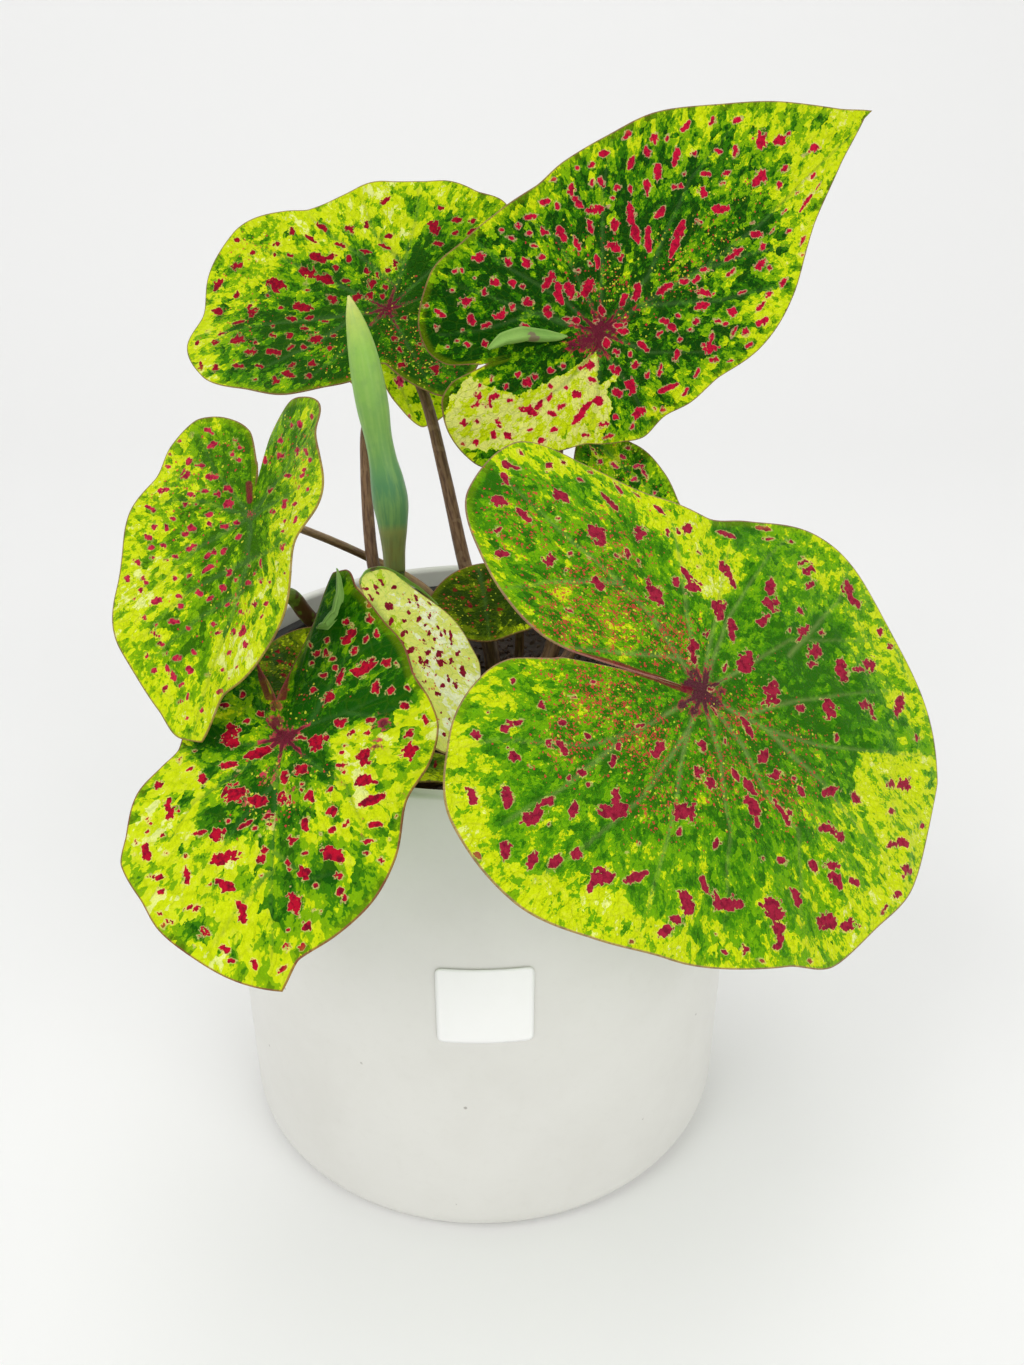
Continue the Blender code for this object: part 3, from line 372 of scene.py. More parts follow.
            (436,369,10,9,0), (402,365,9,5,0), (395,338,6,5,0), (405,318,5,4,0), (420,345,5,3,0),
            (400,350,6,4,60), (430,330,6,4,30), (450,300,8,4,20)),
        tones=(
            (250,250,30,0.85), (300,215,30,0.95), (350,200,30,1.0), (400,190,26,1.0), (405,230,16,1.0),
            (230,290,26,0.75), (215,320,24,0.8), (205,350,18,0.75), (260,300,22,0.45), (330,240,24,0.95),
            (320,265,20,0.35), (360,265,24,0.35), (300,290,24,0.35), (260,335,26,0.15), (300,350,28,0.12),
            (240,360,18,0.25), (330,325,26,0.15), (360,300,24,0.2), (280,385,22,0.3), (205,378,12,1.1),
            (230,340,14,0.3), (420,205,12,0.3), (425,260,20,0.08), (450,235,20,0.35), (460,200,22,0.75),
            (440,185,14,0.85), (400,330,26,0.1), (430,370,26,0.12), (320,350,10,0.7), (290,385,12,0.5),
            (390,268,10,1.0), (400,250,10,0.9), (340,365,18,0.15)),
        blushes=((387,310,9,0.9), (400,300,8,0.35), (370,312,7,0.35), (385,330,16,0.25)),
        specks=((250,250,26,0.4), (240,320,26,0.4), (420,350,40,0.7), (330,350,30,0.4), (390,280,24,0.3)),
        veins=(((387,308), (404,264), (417,214), (420,178)), ((387,308), (370,312), (277,323), (216,332)),
               ((387,308), (340,285), (290,262), (250,243)), ((395,285), (360,255), (320,228), (300,205)),
               ((387,308), (430,270), (470,235)), ((387,308), (350,345), (300,385)), ((360,313), (310,345),
               (250,372)), ((404,264), (375,235), (360,195)), ((387,308), (415,300), (440,290)),
               ((387,308), (410,350), (430,385))),
    ),
    "leaf_left": Markings(
        spots=(
            (208,431,9,6,30), (211,445,11,5,-30), (192,435,4,4,0), (179,441,4,4,0), (170,455,4,4,0),
            (189,461,7,7,0), (200,466,8,5,0), (168,467,5,3,0), (185,476,9,9,40), (212,477,11,6,0),
            (235,440,5,4,0), (239,447,6,4,0), (233,454,6,5,0), (239,460,5,4,60), (228,488,8,6,40),
            (205,491,9,5,0), (217,494,6,5,0), (167,489,8,4,-10), (160,491,5,5,0), (191,495,6,4,0),
            (186,504,5,5,0), (196,505,5,3,0), (228,503,9,8,-30), (151,508,12,5,10), (208,514,8,4,0),
            (210,524,6,5,0), (224,526,8,5,0), (236,522,6,3,0), (153,526,7,6,0), (173,518,7,3,30),
            (166,527,5,6,0), (191,527,10,6,20), (184,534,9,5,-20), (148,537,10,5,35), (238,537,9,5,-30),
            (150,547,6,5,0), (162,544,5,5,0), (189,547,12,6,-25), (210,553,14,7,-25), (222,552,9,6,-35),
            (208,568,14,6,-30), (229,571,9,5,-50), (136,562,9,5,50), (151,557,5,3,0), (165,560,7,4,0),
            (175,557,6,5,45), (127,578,6,5,0), (142,578,6,4,0), (146,582,5,4,0), (141,591,5,7,0),
            (135,599,5,4,0), (157,602,9,8,-20), (179,596,7,4,0), (200,593,6,6,80), (175,578,5,4,0),
            (189,576,6,4,-40), (221,587,8,6,-50), (210,598,8,4,-20), (235,580,6,4,0), (248,583,8,5,20),
            (236,597,5,3,0), (226,604,7,4,-20), (236,603,5,4,0), (255,604,6,5,0), (145,619,9,4,0),
            (175,621,9,5,0), (187,627,6,6,-50), (181,607,8,5,20), (157,625,4,3,0), (155,633,6,4,-20),
            (158,636,7,3,0), (162,644,6,5,-30), (165,654,7,3,-30), (213,624,6,5,-60), (217,633,7,4,0),
            (233,631,5,8,0), (242,631,6,12,20), (245,645,8,5,-40), (228,653,9,5,-35), (237,666,8,3,-50),
            (178,659,12,6,0), (169,668,8,7,-50), (155,671,7,5,-30), (190,671,6,8,30), (194,652,5,4,0),
            (147,656,6,4,-40), (174,678,6,8,0), (208,675,6,3,0), (222,670,5,3,0), (228,678,4,2,0),
            (220,692,5,5,0), (165,689,7,4,-50), (182,685,6,4,-40), (188,697,3,8,0), (179,702,9,4,-20),
            (202,710,5,4,-60), (187,717,4,4,0), (281,441,5,5,0), (280,455,6,6,0), (296,451,4,8,0),
            (304,451,4,9,-20), (264,460,4,8,0), (309,459,3,7,0), (304,470,6,4,0), (286,475,8,4,0),
            (303,476,7,4,-30), (270,490,8,5,-40), (299,488,3,3,0), (308,489,3,3,0), (284,505,4,8,-10),
            (295,504,7,4,-20), (272,512,5,5,-50), (297,521,8,2,-60), (284,521,3,3,0), (283,531,3,3,0),
            (283,547,9,4,-65), (285,574,2,2,0), (261,563,3,8,0), (260,580,3,6,0), (254,574,4,4,0),
            (248,565,4,4,0), (269,581,3,5,0), (268,605,5,4,0), (249,611,5,4,0), (264,617,6,2,-50),
            (299,424,5,6,0), (291,424,4,7,0), (311,416,4,6,0), (285,500,6,3,-30), (240,612,5,4,0)),
        tones=(
            (200,425,18,0.45), (240,430,16,0.3), (220,450,18,0.3), (170,450,20,0.75), (150,480,20,0.95),
            (190,480,20,0.55), (220,490,18,0.4), (240,480,16,0.15), (245,500,14,0.2), (140,520,20,0.9),
            (175,520,20,0.55), (205,520,20,0.4), (140,548,12,0.4), (120,560,18,0.95), (155,580,22,1.0),
            (190,555,18,0.4), (215,560,14,0.2), (215,590,16,0.3), (180,590,20,0.7), (205,610,16,0.3),
            (130,620,20,0.95), (165,630,20,0.45), (190,640,18,0.4), (235,540,16,0.3), (245,570,16,0.3),
            (230,610,14,0.7), (240,640,12,1.15), (225,655,12,1.1), (150,660,18,0.7), (180,680,18,0.5),
            (160,710,20,0.8), (205,720,16,0.85), (190,740,14,1.05), (200,690,14,0.75), (280,420,14,0.3),
            (305,430,16,0.35), (285,460,14,0.4), (300,470,10,0.7), (270,500,12,0.5), (310,500,12,0.8),
            (290,520,12,0.9), (285,560,14,0.95), (265,590,12,0.9), (260,620,12,0.85), (275,540,10,0.7),
            (255,540,10,0.2), (265,440,8,0.3)),
        blushes=((250,514,5,0.7), (250,496,4,0.6)),
        specks=((230,450,24,0.4), (200,500,40,0.3), (290,450,30,0.4), (220,600,40,0.3)),
        veins=(((250,516), (246,560), (232,610), (210,670), (190,740)), ((250,516), (200,545), (150,590)),
               ((250,516), (200,500), (150,500)), ((250,516), (215,470), (195,430)), ((250,518), (275,500),
               (310,480)), ((250,516), (283,470), (300,425)), ((246,560), (270,550), (290,530)),
               ((240,590), (195,620), (150,660)), ((246,560), (190,590), (140,640))),
        bands=(((249,484), (249,500)),),
    ),
    "leaf_front_left": Markings(
        arms=1.2,
        spots=(
            (158,785,9,8,0), (171,810,20,12,70), (147,853,16,9,90), (155,876,18,5,-5), (159,891,12,7,-20),
            (186,875,16,7,90), (217,834,18,12,-20), (202,779,14,10,90), (228,765,20,9,0), (231,733,22,14,-20),
            (258,753,30,9,-15), (234,792,24,18,0), (257,800,22,12,0), (225,856,30,14,-25), (225,885,20,10,35),
            (241,912,24,9,75), (205,932,13,9,0), (225,949,14,6,10), (255,965,12,8,90), (284,777,14,8,90),
            (284,798,14,13,0), (292,840,9,9,0), (304,824,14,10,90), (309,796,12,10,0), (301,769,12,12,0),
            (331,811,14,8,-20), (318,743,22,14,-28), (339,765,8,6,0), (364,757,18,14,-45), (365,780,23,10,12),
            (373,800,30,9,-25), (376,824,18,6,0), (411,751,16,13,-50), (405,705,10,9,0), (369,841,15,6,-10),
            (334,856,28,14,30), (305,874,15,10,-30), (295,903,24,12,80), (344,899,8,6,-60),
               (305,927,11,8,-50),
            (288,947,7,6,-60), (302,948,9,7,-45), (282,970,14,4,-40), (351,635,18,9,-50), (363,670,24,12,-20),
            (341,677,14,8,-70), (329,697,14,12,0), (376,688,12,7,90), (388,664,9,8,0), (389,691,10,7,0),
            (348,623,9,6,0), (369,619,8,7,0), (323,675,10,5,0), (326,653,8,6,0), (311,663,6,4,0),
            (341,721,16,8,-18), (313,690,7,6,0), (370,604,6,5,0), (189,769,8,3,-30), (179,760,6,5,0),
            (195,750,4,3,0), (147,819,6,3,-20), (148,832,5,3,-60), (150,824,5,2,0), (163,835,4,3,0),
            (200,833,20,4,-12), (136,842,6,3,90), (136,855,5,3,0), (166,853,6,3,-40), (186,856,4,4,0),
            (185,883,5,4,0), (209,886,6,6,0), (187,907,12,3,-30), (198,908,10,5,-30), (160,914,9,3,20),
            (169,921,11,5,10), (164,926,5,4,-60), (194,947,3,2,0), (232,961,9,4,0), (245,824,20,4,-35),
            (255,828,6,3,0), (259,836,5,2,0), (264,850,9,5,0), (260,859,8,6,0), (261,875,3,3,0),
            (229,821,4,3,0), (268,815,8,6,0), (269,824,7,6,0), (304,853,6,4,0), (287,862,4,5,0),
            (290,870,4,3,0), (316,886,4,5,0), (339,875,9,6,30), (340,891,8,7,0), (321,912,4,5,0),
            (314,910,3,3,0), (368,854,7,4,0), (381,861,6,5,60), (389,839,3,3,0), (287,930,4,3,0),
            (320,834,3,3,0), (332,829,6,7,0), (346,824,9,5,-40), (303,784,3,3,0), (345,772,5,3,-30),
            (396,817,3,3,0), (317,653,6,5,0), (333,659,6,4,0), (335,667,6,5,0), (313,654,5,3,60),
            (347,641,12,8,-40), (356,651,9,6,-50), (372,665,10,9,-60), (301,738,10,5,0), (352,733,9,6,-30),
            (371,721,12,6,-10), (367,733,7,5,0), (425,720,7,10,0), (409,735,8,8,0), (302,790,5,4,0),
            (330,790,8,5,-40), (345,746,5,3,-20), (341,753,5,4,0), (342,765,10,6,0), (232,743,16,9,-15),
            (247,722,8,4,-20), (224,705,9,5,0), (262,715,6,6,0), (243,694,8,5,10), (310,645,5,3,60),
            (327,640,6,4,0), (367,640,4,9,20), (377,634,5,8,0), (396,664,6,4,0), (408,688,4,6,-40)),
        tones=(
            (150,790,26,1.0), (140,840,24,0.9), (125,870,20,0.5), (170,820,20,0.8), (165,860,22,0.85),
            (190,840,22,0.9), (175,780,18,0.95), (210,770,14,0.45), (215,790,14,0.5), (215,820,16,0.15),
            (245,810,16,0.15), (250,840,18,0.9), (230,870,22,1.0), (200,900,26,0.9), (200,940,24,0.95),
            (240,950,20,0.9), (262,900,18,0.75), (255,880,14,0.5), (270,930,12,0.35), (265,975,14,0.75),
            (290,790,12,0.35), (290,820,14,0.1), (300,870,20,0.15), (310,900,20,0.35), (330,920,20,0.6),
            (300,940,16,0.5), (325,790,14,0.85), (320,770,12,0.3), (330,850,14,0.3), (320,830,14,0.85),
            (360,820,16,1.0), (390,780,20,1.0), (400,740,20,0.95), (430,720,16,1.0), (350,740,14,0.95),
            (400,850,18,0.5), (370,870,20,0.45), (350,890,18,0.5), (385,830,12,0.7), (230,700,18,0.35),
            (215,690,14,0.1), (240,740,12,0.5), (215,740,12,0.15), (260,720,10,0.3), (290,700,12,0.35),
            (300,660,14,0.3), (320,640,16,0.15), (345,600,16,0.05), (350,680,24,0.05), (390,660,20,0.35),
            (330,710,20,0.1), (400,700,16,0.4), (270,860,8,0.9), (240,770,12,0.6), (250,640,14,0.2)),
        blushes=((283,737,11,1.1), (277,722,9,1.0), (276,706,8,1.0), (292,735,9,1.0), (265,775,12,0.55),
                 (250,800,14,0.4), (270,815,8,0.75), (303,768,7,0.6), (330,790,7,0.4), (345,795,6,0.4),
                 (385,725,10,0.85), (378,748,9,0.85), (372,768,7,0.6), (362,820,4,0.4), (363,835,4,0.4),
                 (230,775,12,0.3), (290,790,8,0.4), (404,805,5,0.6), (405,820,5,0.6), (404,793,5,0.5)),
        specks=((265,790,30,0.5), (290,800,20,0.5), (300,700,20,0.4), (250,820,24,0.3), (320,780,24,0.3)),
        veins=(((283,737), (276,770), (272,840), (271,900), (272,985)), ((283,737), (240,770), (195,800),
               (170,840)), ((283,737), (250,745), (215,740)), ((283,737), (300,727), (345,712), (385,695)),
               ((283,737), (315,765), (345,785), (360,820), (365,850)), ((276,780), (240,820), (205,870)),
               ((272,850), (310,880), (345,870)), ((310,722), (325,695), (345,660), (385,640)),
               ((345,712), (375,716), (400,706)), ((272,870), (240,900), (215,945)), ((283,737), (262,715),
                                                                                      (255,680))),
        zone=((282,741), (333,734), (348,724), (371,713), (400,709), (410,699), (414,684), (425,690),
              (430,665), (400,600), (360,550), (325,560), (300,640), (292,690), (285,712)),
        bands=(((258,658), (262,680), (268,697), (283,697), (286,675), (297,645)),),
    ),
    "leaf_front_right": Markings(
        arms=1.3,
        spots=(
            (507,464,13,8,20), (518,467,10,5,10), (506,479,12,9,55), (499,502,16,10,20), (524,515,22,7,40),
            (498,530,7,6,90), (503,552,12,12,0), (551,559,13,12,90), (561,496,21,10,35), (549,466,10,7,30),
            (563,462,6,4,20), (521,452,9,3,50), (590,472,6,3,0), (581,480,8,3,30), (609,502,26,5,48),
            (618,487,17,4,60), (636,495,11,2,38), (660,509,16,3,40), (597,535,26,13,55), (641,532,14,12,45),
            (668,532,9,3,80), (679,530,9,3,78), (688,527,11,9,0), (627,554,12,5,85), (640,562,10,4,75),
            (617,556,5,4,0), (556,519,4,4,0), (598,585,19,10,50), (654,593,28,12,65), (676,582,12,6,75),
            (686,575,20,5,60), (693,587,16,12,0), (567,570,4,4,0), (570,610,9,3,30), (589,557,6,3,50),
            (571,552,4,4,0), (726,535,22,5,25), (699,553,7,3,20), (699,568,5,3,0), (763,528,18,4,10),
            (769,538,9,4,10), (792,541,8,5,50), (724,567,12,8,30), (731,580,18,7,70), (718,607,18,13,0),
            (720,615,10,7,90), (733,630,26,8,88), (708,633,6,6,0), (693,652,26,10,85), (769,589,18,8,90),
            (770,605,16,15,0), (764,620,13,9,-20), (800,612,8,8,0), (803,562,7,6,-60), (809,570,9,9,0),
            (810,585,14,6,-45), (804,631,12,9,-30), (799,639,8,4,-50), (788,631,4,4,0), (823,632,5,5,0),
            (848,588,18,10,75), (854,602,18,6,50), (881,632,9,4,80), (890,647,6,6,0), (747,662,22,16,90),
            (816,651,15,12,30), (813,664,8,6,0), (842,671,24,10,75), (857,670,14,5,0), (869,666,12,12,0),
            (772,690,22,11,90), (770,702,15,7,0), (799,709,9,7,0), (829,708,20,10,80), (863,706,16,9,15),
            (873,715,13,5,65), (900,705,26,8,-70), (838,738,9,4,90), (917,738,7,6,0), (748,726,24,6,60),
            (765,756,15,9,-40), (716,711,14,4,60), (726,667,12,4,-70), (711,689,7,4,0), (511,682,6,4,0),
            (487,713,4,4,0), (544,705,10,7,70), (573,697,8,4,20), (593,682,4,3,0), (508,728,16,9,-25),
            (518,723,10,6,-20), (474,737,13,6,10), (514,755,16,11,50), (563,722,8,6,0), (550,743,9,7,40),
            (563,746,12,9,60), (589,734,10,5,45), (530,766,4,4,0), (472,795,19,11,80), (507,797,23,11,80),
            (534,815,26,15,-35), (547,802,16,7,-35), (573,810,20,8,-75), (614,810,32,16,0), (617,795,18,8,90),
            (614,761,15,6,-80), (583,772,9,8,0), (659,749,22,10,-60), (478,856,12,6,50), (506,850,17,12,80),
            (531,860,19,11,-60), (554,863,16,11,-40), (575,855,10,10,0), (601,879,20,16,0), (590,888,9,6,80),
            (634,878,30,9,-22), (641,843,4,4,0), (628,852,5,3,0), (664,930,20,9,-50), (674,920,14,9,20),
            (632,941,6,5,90), (549,824,4,4,0), (639,726,10,5,0), (619,746,8,5,90), (590,784,5,4,0),
            (568,778,5,4,0), (685,812,22,18,0), (680,831,10,6,-70), (683,903,28,12,75), (700,771,10,9,0),
            (712,783,14,8,60), (703,745,14,7,90), (726,741,8,3,80), (777,774,12,9,0), (794,778,5,4,0),
            (802,791,11,6,80), (830,791,18,9,-10), (857,798,16,8,50), (891,784,11,8,0), (906,784,13,11,-30),
            (890,812,9,7,0), (922,826,5,5,0), (891,845,10,6,-20), (901,843,12,8,60), (906,870,11,8,30),
            (902,876,4,4,0), (898,894,8,7,0), (884,910,13,4,-60), (828,828,16,10,15), (841,837,14,10,45),
            (829,866,14,9,40), (834,880,22,9,60), (815,866,17,7,65), (854,882,13,7,35), (781,861,11,6,50),
            (763,859,6,4,90), (796,898,22,9,70), (772,909,27,14,50), (779,932,20,12,80), (776,947,12,7,0),
            (716,902,22,9,75), (731,903,24,15,0), (704,884,20,7,75), (716,843,14,6,-75), (829,922,20,15,20),
            (848,925,14,11,0), (745,950,8,7,0), (725,952,9,3,25), (716,934,4,2,0), (762,961,10,3,20),
            (810,961,5,4,0), (750,787,22,8,60), (754,806,24,11,65), (757,822,12,5,75), (777,806,20,4,60),
            (785,822,14,5,55), (787,813,6,5,90), (736,775,16,4,60)),
        tones=(
            (500,455,16,0.85), (560,455,16,0.9), (620,470,14,0.95), (660,495,14,0.95), (690,515,12,0.9),
            (485,480,18,0.1), (490,520,16,0.4), (530,490,22,0.45), (580,510,22,0.45), (540,540,22,0.4),
            (490,570,16,0.6), (530,590,26,0.45), (600,560,24,0.4), (640,580,20,0.35), (660,620,18,0.35),
            (580,630,20,0.45), (700,560,14,0.9), (715,590,10,1.2), (730,555,10,0.85), (760,545,16,0.5),
            (740,522,14,0.15), (700,620,14,0.45), (740,610,14,0.35), (780,560,14,0.4), (800,590,14,0.45),
            (830,570,14,0.7), (850,600,14,0.6), (870,630,12,0.75), (890,660,10,0.8), (910,700,12,0.75),
            (820,640,16,0.15), (770,640,16,0.2), (790,680,18,0.15), (840,700,20,0.15), (870,690,12,0.45),
            (890,730,14,0.45), (760,720,18,0.3), (720,670,14,0.3), (680,680,12,0.25), (740,690,12,0.15),
            (500,660,20,0.55), (540,680,20,0.45), (480,700,18,0.65), (460,740,16,0.85), (460,790,14,0.95),
            (470,840,14,0.95), (500,880,14,0.95), (550,900,14,1.0), (600,915,14,1.0), (660,950,14,0.95),
            (720,965,12,0.9), (500,740,24,0.5), (550,760,28,0.4), (600,720,24,0.35), (640,700,18,0.3),
            (530,830,20,0.5), (580,840,24,0.45), (640,800,28,0.35), (640,860,22,0.5), (680,870,22,0.5),
            (700,820,24,0.4), (700,920,20,0.55), (740,840,24,0.3), (740,900,20,0.45), (780,880,20,0.5),
            (800,830,22,0.5), (790,780,16,0.25), (840,770,16,0.35), (850,830,18,0.6), (820,900,18,0.6),
            (760,940,16,0.6), (720,760,16,0.3), (680,740,14,0.3), (900,750,12,0.6), (560,590,10,0.75),
            (620,640,10,0.7), (850,650,10,0.5)),
        blushes=((703,692,14,1.2), (690,684,9,1.1), (684,704,8,0.9), (716,702,9,1.0), (695,672,8,0.9),
                 (706,674,7,0.8),
                 (696,710,8,0.9), (722,692,7,0.8),
                 (730,720,14,0.35), (720,745,12,0.35), (690,740,12,0.3), (700,650,12,0.2), (760,790,12,0.25),
                 (740,760,10,0.3), (660,720,14,0.25), (715,580,10,0.25)),
        specks=((600,560,40,0.5), (620,620,34,0.9), (570,600,40,0.6), (670,640,24,0.9), (560,640,34,0.6),
                (600,700,40,0.8), (640,740,34,0.8), (570,740,34,0.5), (740,720,30,0.5), (720,780,34,0.6),
                (520,520,34,0.4), (780,790,34,0.5), (660,800,34,0.4), (800,740,30,0.2)),
        veins=(((703,692), (681,657), (620,582), (542,513), (500,475)), ((703,692), (687,620), (682,570),
               (675,530), (668,508)), ((703,692), (715,620), (720,595), (730,545)), ((703,692), (728,620),
               (765,560), (790,535)), ((703,692), (740,670), (790,640), (870,640)), ((703,692), (770,730),
               (820,745), (880,752), (940,757)), ((703,692), (745,745), (770,800), (795,830), (802,870),
               (800,930)), ((703,692), (722,760), (730,830), (725,930)), ((703,692), (690,730), (683,760),
               (678,800), (660,870), (640,930)), ((703,692), (640,730), (590,745), (500,740), (465,745)),
               ((690,730), (640,800), (580,850), (520,890)), ((681,657), (600,650), (510,640)),
               ((620,582), (560,580), (500,590)), ((770,730), (830,790), (880,850)), ((620,742), (560,790),
               (490,830)), ((790,655), (840,600), (850,570)), ((740,715), (800,700), (890,690))),
        zone=((857,752), (945,757), (940,800), (920,885), (865,945), (800,975), (830,935), (840,905),
              (885,882), (880,860), (878,840), (865,806), (855,790)),
        bands=(((555,649), (620,665), (690,690)),),
    ),
    "leaf_cream": Markings(
        spots=(
            (375,588,6,5,60), (381,582,9,3,50), (365,589,7,3,10), (371,597,8,3,45), (378,593,4,4,0),
            (394,588,5,4,0), (389,606,9,8,50), (392,621,6,4,90), (409,601,6,3,80), (415,599,9,4,75),
            (418,606,6,3,75), (408,613,5,3,80), (418,620,5,5,0), (405,621,3,3,0), (425,625,4,3,-60),
            (404,632,7,6,-60), (402,641,5,5,0), (429,616,5,3,90), (438,628,7,3,85), (445,632,7,3,90),
            (441,633,7,3,90), (451,632,9,3,90), (451,641,10,3,88), (429,633,6,3,90), (435,639,5,3,-60),
            (425,642,7,4,70), (411,650,8,6,-60), (427,654,8,4,-60), (438,655,8,5,-50), (450,662,9,4,85),
            (440,664,9,6,10), (457,653,7,4,-50), (463,671,12,5,75), (425,664,9,4,-70), (419,660,7,4,80),
            (429,667,3,2,0), (448,678,9,3,80), (455,685,8,5,80), (441,687,6,4,-20), (438,694,4,4,-50),
            (425,681,4,3,0), (441,712,3,2,90), (450,719,3,2,90), (444,735,4,3,0), (435,675,5,2,-60),
            (432,649,4,2,60), (421,590,5,3,60), (430,604,6,2,40)),
        tones=((370,590,14,0.9), (395,600,14,1.2), (420,610,16,1.35), (440,640,20,1.4), (400,635,10,0.7),
               (395,615,8,0.8), (415,650,8,0.85), (450,680,20,1.4), (440,720,20,1.3), (430,690,10,1.1),
               (450,620,12,1.1), (470,660,10,1.1), (410,580,12,1.0), (440,750,10,1.0)),
        specks=((425,620,26,0.4), (430,670,30,0.5)),
        veins=(((372,600), (400,640), (430,700), (443,770)),),
    ),
    "leaf_back": Markings(
        spots=((399,380,12,10,90), (410,417,4,4,0), (430,402,5,4,0), (350,372,4,3,0)),
        tones=((345,372,14,0.85), (400,400,20,0.9), (430,380,20,0.7)),
        veins=(((387,360), (400,385), (415,420)),),
    ),
    "leaf_back_right": Markings(
        spots=((622,456,6,5,0), (615,465,8,6,0), (638,466,14,3,0), (645,474,10,3,60), (635,478,6,5,0),
               (654,493,5,5,0), (593,451,10,3,50), (600,462,6,4,0), (628,447,5,4,0)),
        tones=((620,460,30,0.5), (650,490,16,0.35)),
        specks=((620,460,40,0.5),),
        veins=(((580,430), (620,462), (660,500)),),
    ),
    "leaf_inner_back": Markings(
        spots=((455,590,6,4,60), (470,605,5,4,0), (490,590,5,4,0), (480,620,5,3,20), (463,598,4,4,0),
               (500,610,5,3,0), (445,600,4,3,0)),
        tones=((460,590,24,0.15), (500,600,24,0.1), (510,630,10,0.55), (480,632,10,0.6), (450,625,10,0.5)),
        specks=((470,600,40,0.4),),
        veins=(((478,565), (485,600), (490,640)),),
    ),
    "leaf_under_left": Markings(
        spots=((268,657,5,3,0), (280,661,7,4,0), (284,676,6,4,30), (277,651,4,3,0), (290,664,4,3,0)),
        tones=((275,645,12,0.5), (275,665,12,0.35), (272,685,10,0.2), (300,650,12,0.4)),
        specks=((280,665,30,0.5),),
        veins=(((275,640), (270,680), (268,700)), ((275,650), (300,680))),
    ),
    "leaf_under_front": Markings(
        spots=((435,764,5,4,0),),
        tones=((430,757,8,0.15), (432,775,8,0.55)),
        veins=(((425,765), (445,768)),),
    ),
}


def paint(red: float, green: float, blue: float) -> tuple[float, float, float, float]:
    """Return a screen colour, from 0 to 255, as the linear colour that shaders take."""
    shares = (red / 255.0, green / 255.0, blue / 255.0)
    linear = [s / 12.92 if s <= 0.04045 else ((s + 0.055) / 1.055) ** 2.4 for s in shares]
    return (linear[0], linear[1], linear[2], 1.0)


class Wiring:
    """Adds nodes to a tree and joins them."""

    def __init__(self, tree: bpy.types.NodeTree) -> None:
        """Take the tree to wire."""
        self.tree = tree

    def node(self, kind: str, **settings: object) -> bpy.types.Node:
        """Add a node of a kind, with its settings."""
        made = self.tree.nodes.new(kind)
        for name, value in settings.items():
            setattr(made, name, value)
        return made

    def feed(self, socket: bpy.types.NodeSocket, value: object) -> None:
        """Join a socket to another, or give it a plain value."""
        if isinstance(value, bpy.types.NodeSocket):
            self.tree.links.new(value, socket)
        else:
            socket.default_value = value

    def math(self, operation: str, first: Value, second: Value = 0.0,
             clamp: bool = False) -> bpy.types.NodeSocket:
        """Return a sum worked out by a Math node."""
        made = self.node("ShaderNodeMath", operation=operation, use_clamp=clamp)
        self.feed(made.inputs[0], first)
        self.feed(made.inputs[1], second)
        return made.outputs[0]

    def times(self, first: Value, second: Value) -> bpy.types.NodeSocket:
        """Return the product of two values."""
        return self.math("MULTIPLY", first, second)

    def step(self, value: Value, low: Value, high: Value, start: Value = 0.0,
             end: Value = 1.0) -> bpy.types.NodeSocket:
        """Return a smooth step of a value from low to high."""
        made = self.node("ShaderNodeMapRange", interpolation_type="SMOOTHSTEP")
        for socket, given in zip(made.inputs, (value, low, high, start, end)):
            self.feed(socket, given)
        return made.outputs[0]

    def blend(self, factor: Value, first: object, second: object, kind: str = "MIX") -> bpy.types.NodeSocket:
        """Return a mix of two colours."""
        made = self.node("ShaderNodeMix", data_type="RGBA", blend_type=kind)
        self.feed(made.inputs[0], factor)
        self.feed(made.inputs[6], first)
        self.feed(made.inputs[7], second)
        return made.outputs[2]

    def noise(self, vector: object, scale: Value, detail: float = 2.0,
              rough: float = 0.5) -> bpy.types.NodeSocket:
        """Return a noise value from 0 to 1, spread about a half."""
        made = self.node("ShaderNodeTexNoise")
        self.feed(made.inputs["Vector"], vector)
        self.feed(made.inputs["Scale"], scale)
        made.inputs["Detail"].default_value = detail
        made.inputs["Roughness"].default_value = rough
        return made.outputs["Fac"]

    def cells(self, vector: object, scale: Value, feature: str = "F1") -> bpy.types.Node:
        """Return a Voronoi node."""
        made = self.node("ShaderNodeTexVoronoi", feature=feature)
        self.feed(made.inputs["Vector"], vector)
        self.feed(made.inputs["Scale"], scale)
        return made

    def vector(self, operation: str, first: object, second: object) -> bpy.types.NodeSocket:
        """Return a vector worked out by a Vector Math node."""
        made = self.node("ShaderNodeVectorMath", operation=operation)
        self.feed(made.inputs[0], first)
        if operation == "SCALE":
            self.feed(made.inputs["Scale"], second)
        else:
            self.feed(made.inputs[1], second)
        return made.outputs[0]

    def attribute(self, name: str, output: str = "Fac") -> bpy.types.NodeSocket:
        """Return an attribute of the piece's own mesh."""
        return self.node("ShaderNodeAttribute", attribute_name=name).outputs[output]

    def place_mm(self) -> bpy.types.NodeSocket:
        """Return the place on the piece, in millimetres."""
        return self.vector("SCALE", self.node("ShaderNodeTexCoord").outputs["Object"], 1000.0)

    def group(self, tree: bpy.types.NodeTree, **inputs: object) -> bpy.types.Node:
        """Place a node group, with its inputs given by name, with _ for a space."""
        made = self.node("ShaderNodeGroup")
        made.node_tree = tree
        for name, value in inputs.items():
            self.feed(made.inputs[name.replace("_", " ")], value)
        return made


